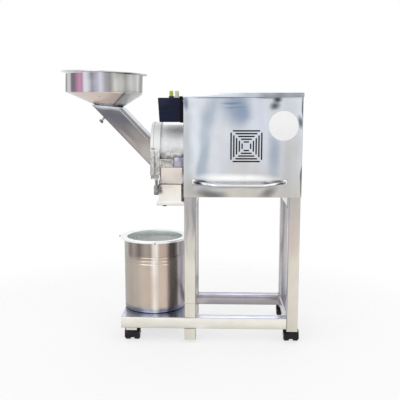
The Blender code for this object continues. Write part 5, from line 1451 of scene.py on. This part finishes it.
# %% Fastener heads
fastener_steel = cast_metal("zinc_plated_fasteners", "D2D1CF", "9B9998", 0.5, 0.24, 0.04)
RECESS_LONG, RECESS_WIDE, RECESS_DEEP = 4.4, 1.0, 2.4


def head_object(name, bm):
    """Fastener head at the origin, looking up, for the geometry tree to copy."""
    return piece_from(name, bm, math.radians(35))


pan_outline = [(0, 2.5), (2.2, 2.4), (3.3, 1.9), (3.9, 1.0), (4.0, -0.4), (0, -0.4)]
pan_head = head_object("pan_head", lathed(pan_outline, steps=28))
cross = bmesh.new()
for turn, lift in ((0, 0.0), (90, 0.02)):
    bar = bmesh.ops.create_cube(cross, size=1.0)["verts"]
    bmesh.ops.scale(cross, vec=Vector((RECESS_LONG, RECESS_WIDE, RECESS_DEEP)) * MM, verts=bar)
    bmesh.ops.rotate(cross, matrix=Matrix.Rotation(math.radians(turn), 3, "Z"), verts=bar)
    bmesh.ops.translate(cross, vec=(0, 0, (RECESS_DEEP + lift) * MM), verts=bar)
recess = head_object("cross_recess", cross)
cutter = pan_head.modifiers.new("recess", "BOOLEAN")
cutter.object = recess
cutter.operation = "DIFFERENCE"
cutter.use_self = True
bpy.context.view_layer.update()
cut_mesh = bpy.data.meshes.new_from_object(pan_head.evaluated_get(bpy.context.evaluated_depsgraph_get()))
pan_head.modifiers.clear()
pan_head.data = cut_mesh
bpy.data.objects.remove(recess)

hex_bm = lathed([(0, 3.6), (3.7, 3.6), (4.4, 3.1), (4.5, 0.9), (4.5, 0.8), (0, 0.8)], steps=6)
take_in(hex_bm, lathed([(0, 0.9), (5.0, 0.9), (5.2, 0.7), (5.2, -0.4), (0, -0.4)], steps=28))
hex_head = head_object("hex_head", hex_bm)
rivet_outline = [(0, 1.2), (0.9, 1.0), (1.0, 1.4), (2.0, 1.1), (3.0, 0.5), (3.2, -0.3), (0, -0.3)]
rivet = head_object("blind_rivet", lathed(rivet_outline))
peg_outline = [(0, 9.2), (2.4, 8.9), (3.3, 7.9), (3.4, 6.2), (2.6, 5.6), (2.6, -0.4), (0, -0.4)]
peg = head_object("collar_peg", lathed(peg_outline))
print("heads:", len(pan_head.data.polygons), "faces on a screw,", len(hex_head.data.polygons), "on a bolt")

# %% [markdown]
# ## Where the fasteners go
# A fastener is a place and the way it looks. Most places are lists of heights along an edge. The
# flange's bolts and the collar's pegs sit on circles, and the rivet's place is looked up on the
# finished cone, so that it sits square on the leaning sheet.

# %% Place the fasteners
LEFT_WALL, RIGHT_WALL, FRONT_WALL, REAR_WALL = -1.8, 403.8, -1.8, 321.8
LID_LEFT, LID_RIGHT, LID_SCREW_ROW = -4.2, 406.2, 875
LEFT, RIGHT, FRONT, REAR = (-1, 0, 0), (1, 0, 0), (0, -1, 0), (0, 1, 0)
SCREWED_RAIL = 514
left_places = [(12, 600), (12, 735), (12, 855), (308, 560), (308, 700), (308, 850)]
rail_places = [(y, SCREWED_RAIL) for y in (60, 160, 260)]
right_places = [(y, z) for y in (12, 308) for z in (545, 700, 850)]
side_screws = [((LEFT_WALL, y, z), LEFT) for y, z in left_places + rail_places]
side_screws += [((RIGHT_WALL, y, z), RIGHT) for y, z in right_places + rail_places]
fasten("side_screws", pan_head, side_screws, "left_panel", fastener_steel, 0.75)
rear_screws = [((x, REAR_WALL, z), REAR) for x in (22, 201, 380) for z in (545, 850)]
fasten("rear_screws", pan_head, rear_screws, "rear_panel", fastener_steel, 0.75)
lid_screws = [((LID_LEFT, y, LID_SCREW_ROW), LEFT) for y in (150, 260)]
lid_screws += [((LID_RIGHT, y, LID_SCREW_ROW), RIGHT) for y in (60, 260)]
fasten("lid_screws", pan_head, lid_screws, "lid", fastener_steel, 0.9)

SHAFT_Y, SHAFT_Z = 160, 683.6
FLANGE_FACE, BOLT_CIRCLE = -9.0, 93.2
flange_bolts = []
for degrees in (45, 135, 225, 315):
    across, up = math.cos(math.radians(degrees)), math.sin(math.radians(degrees))
    flange_bolts.append(((FLANGE_FACE, SHAFT_Y + BOLT_CIRCLE * across, SHAFT_Z + BOLT_CIRCLE * up), LEFT))
fasten("flange_bolts", hex_head, flange_bolts, "chamber_body", bracket_steel)

BEFORE_CONE = (-297, 50, 866)
on_cone = hopper.closest_point_on_mesh(at(*BEFORE_CONE))
rivet_place = [c / MM for c in on_cone[1] - at(0, 0, 0)]
fasten("cone_rivet", rivet, [(rivet_place, on_cone[2])], "hopper", turned_grey)

COLLAR_EDGE, PEG_HEIGHT = 126.2, 356.0
pegs = []
for degrees in (6.1, 96, 186, -92):
    out = Vector((math.sin(math.radians(degrees)), -math.cos(math.radians(degrees)), 0))
    pegs.append(((DRUM_AT[0] + COLLAR_EDGE * out.x, DRUM_AT[1] + COLLAR_EDGE * out.y, PEG_HEIGHT), out))
fasten("collar_pegs", peg, pegs, "drum_collar", fastener_steel)
fasten("sleeve_screw", pan_head, [((-91, 102.0, 551), FRONT)], "discharge_sleeve", fastener_steel, 0.8)
for head_shape in (pan_head, hex_head, rivet, peg):
    bpy.data.objects.remove(head_shape)
print("screws on the walls:", len(side_screws), "bolts:", len(flange_bolts), "pegs:", len(pegs))

# %% [markdown]
# ## Plain disc
# A round disc of plain white vinyl sits on the front panel. A disc this thin could be a patch in
# the panel's finish, but its edge catches light, so it is a turned shape.

# %% Plain disc
DISC_AT = (339, FRONT_WALL, 771)
disc_white = moulded("plain_white_vinyl", "F7F7F8", 0.34, "FFFFFF", 2.0, 0.03, blotch=0.012)
disc_outline = [(0, 0.35), (49.6, 0.35), (50.0, 0.2), (50.0, -0.05), (0, -0.05)]
disc = piece_from("plain_disc", lathed(disc_outline, at(*DISC_AT), FRONT, 96))
settle(disc, disc_white, "front_panel", stands_for=False)
print("disc of", 2 * disc_outline[2][0], "mm")

# %% [markdown]
# ## Hems
# Sheet that hands touch has its edges folded back into hems. A hem is a thin round line of painted
# highlight on the cover and a line of painted shade on the chute and the sleeve. Each is a wire laid
# along its edge.

# %% Hems
BRIGHT_HEM = {"low": "E6E6E8", "high": "F4F4F6", "right": "C9C9CC", "top": "FFFFFF", "under": "A5A4A8"}
DARK_HEM = {"low": "5B585B", "high": "4A4850", "right": "6A686C", "top": "77757A", "under": "3A383C"}
# The bright hem is a painted highlight, the dark hem painted shade.
hem_bright = bright_steel("hem_painted_highlight", BRIGHT_HEM, grain=0, roughness=0.12)
hem_dark = bright_steel("shaded_hem", DARK_HEM, grain=0, roughness=0.3)
COVER_EDGE = ((-238.0, 826.0), (-136.8, 719.2))
CHUTE_EDGE = ((-335.2, 842.4), (-123.6, 621.4))
SLEEVE_MOUTH, SLEEVE_FOOT = 557.4, 482.8


def hem(name, lines, radius, material, node):
    """Wire-edge hems along straight lines."""
    bm = bmesh.new()
    for first, last in lines:
        rod(bm, first, last, radius)
    bmesh.ops.recalc_face_normals(bm, faces=bm.faces)
    settle(piece_from(name, bm), material, node, stands_for=False)


def on_sides(edge, sides):
    """The same edge, two points (x, z), on two upright sides given by their Y."""
    return [[(x, y, z) for x, z in edge] for y in sides]


hem("cover_hem", on_sides(COVER_EDGE, (113.0, 207.0)), 0.8, hem_bright, "chute_cover")
hem("chute_hem", on_sides(CHUTE_EDGE, (115.0, 205.0)), 0.8, hem_dark, "chute")
sleeve_edges = []
for left, right, near, away, z in ((-98, -9, 102, 218, SLEEVE_MOUTH), (-105, -4, 95, 225, SLEEVE_FOOT)):
    sleeve_edges += [((left, near, z), (right, near, z)), ((left, near, z), (left, away, z))]
hem("sleeve_hem", sleeve_edges, 0.7, hem_dark, "discharge_sleeve")
print("hems on the sleeve:", len(sleeve_edges))

# %% [markdown]
# ## Tab, cleat, starter base and shroud
# A small tab under the sleeve lets a hand pull it off. A bent cleat stands on the left side sheet
# near its lower front corner, painted dark as painted shade, since it sits in shade beside the sheet.
# The starter's case sits in a black base that stands a little proud of it, and a raised ring keeps
# the stop button from being pressed by chance. The first three are outlines given a length, the ring
# is turned.

# %% Tab, cleat, starter base and shroud
# Painted shade: the cleat is painted dark brown-grey.
cleat_painted_shade = cast_metal("cleat_in_painted_shade", "6E6662", "47403D", 1.0, 0.5, 0.1)
tab_outline = [(94.6, 478.6), (110, 481.4), (110, 482.4), (94.6, 482.4)]
tab = extruded("sleeve_tab", "X", tab_outline, -83, -69)
settle(tab, hem_dark, "discharge_sleeve", stands_for=False)
cleat_outline = [(-1.7, 8), (-10.5, 8), (-10.5, 9.5), (-3.3, 9.5), (-3.3, 36), (-1.7, 36)]
cleat = extruded("side_cleat", "Z", cleat_outline, 509, 570)
settle(cleat, cleat_painted_shade, "left_panel", stands_for=False)
base_outline = [(-14, 781), (-2.0, 781), (-2.0, 866.2), (-4.8, 866.2), (-4.8, 871), (-14, 871)]
base = extruded("starter_base", "Y", base_outline, 18, 122, 0.8)
settle(base, base_black, "starter_box", stands_for=False)
shroud_outline = [(9.0, 866.0), (10.0, 866.0), (10.0, 871.4), (9.6, 872.2), (8.6, 872.2), (8.6, 871.6),
                  (9.0, 871.4)]
shroud = piece_from("stop_shroud", lathed(shroud_outline, at(-27, 70, 0), steps=40, ring=True))
settle(shroud, stop_ivory, "starter_box", stands_for=False)
print("added", ", ".join(piece.name for piece in (tab, cleat, base, shroud)))

# %% [markdown]
# ## Axle caps
# Each castor's axle ends in a pressed cap on both sides of its wheel pair. The two caps of a castor
# are one piece, because they roll together.

# %% Axle caps
AXLE_HEIGHT = 20
CASTOR_ROWS = {"front": 34, "rear": 314}
WHEEL_FACES = {"left": (-217.0, -164.0), "right": (355.5, 408.5)}
cap_outline = [(0, 0.5), (4.0, 0.4), (5.0, 0.0), (5.0, -0.5), (0, -0.5)]
for row, y in CASTOR_ROWS.items():
    for side, (left_face, right_face) in WHEEL_FACES.items():
        bm = lathed(cap_outline, at(left_face, y, AXLE_HEIGHT), LEFT, 24)
        take_in(bm, lathed(cap_outline, at(right_face, y, AXLE_HEIGHT), RIGHT, 24))
        caps = piece_from(f"axle_caps_{row}_{side}", bm)
        settle(caps, fastener_steel, f"castor_wheels_{row}_{side}", stands_for=False)
print("axle caps on", len(CASTOR_ROWS) * len(WHEEL_FACES), "castors")
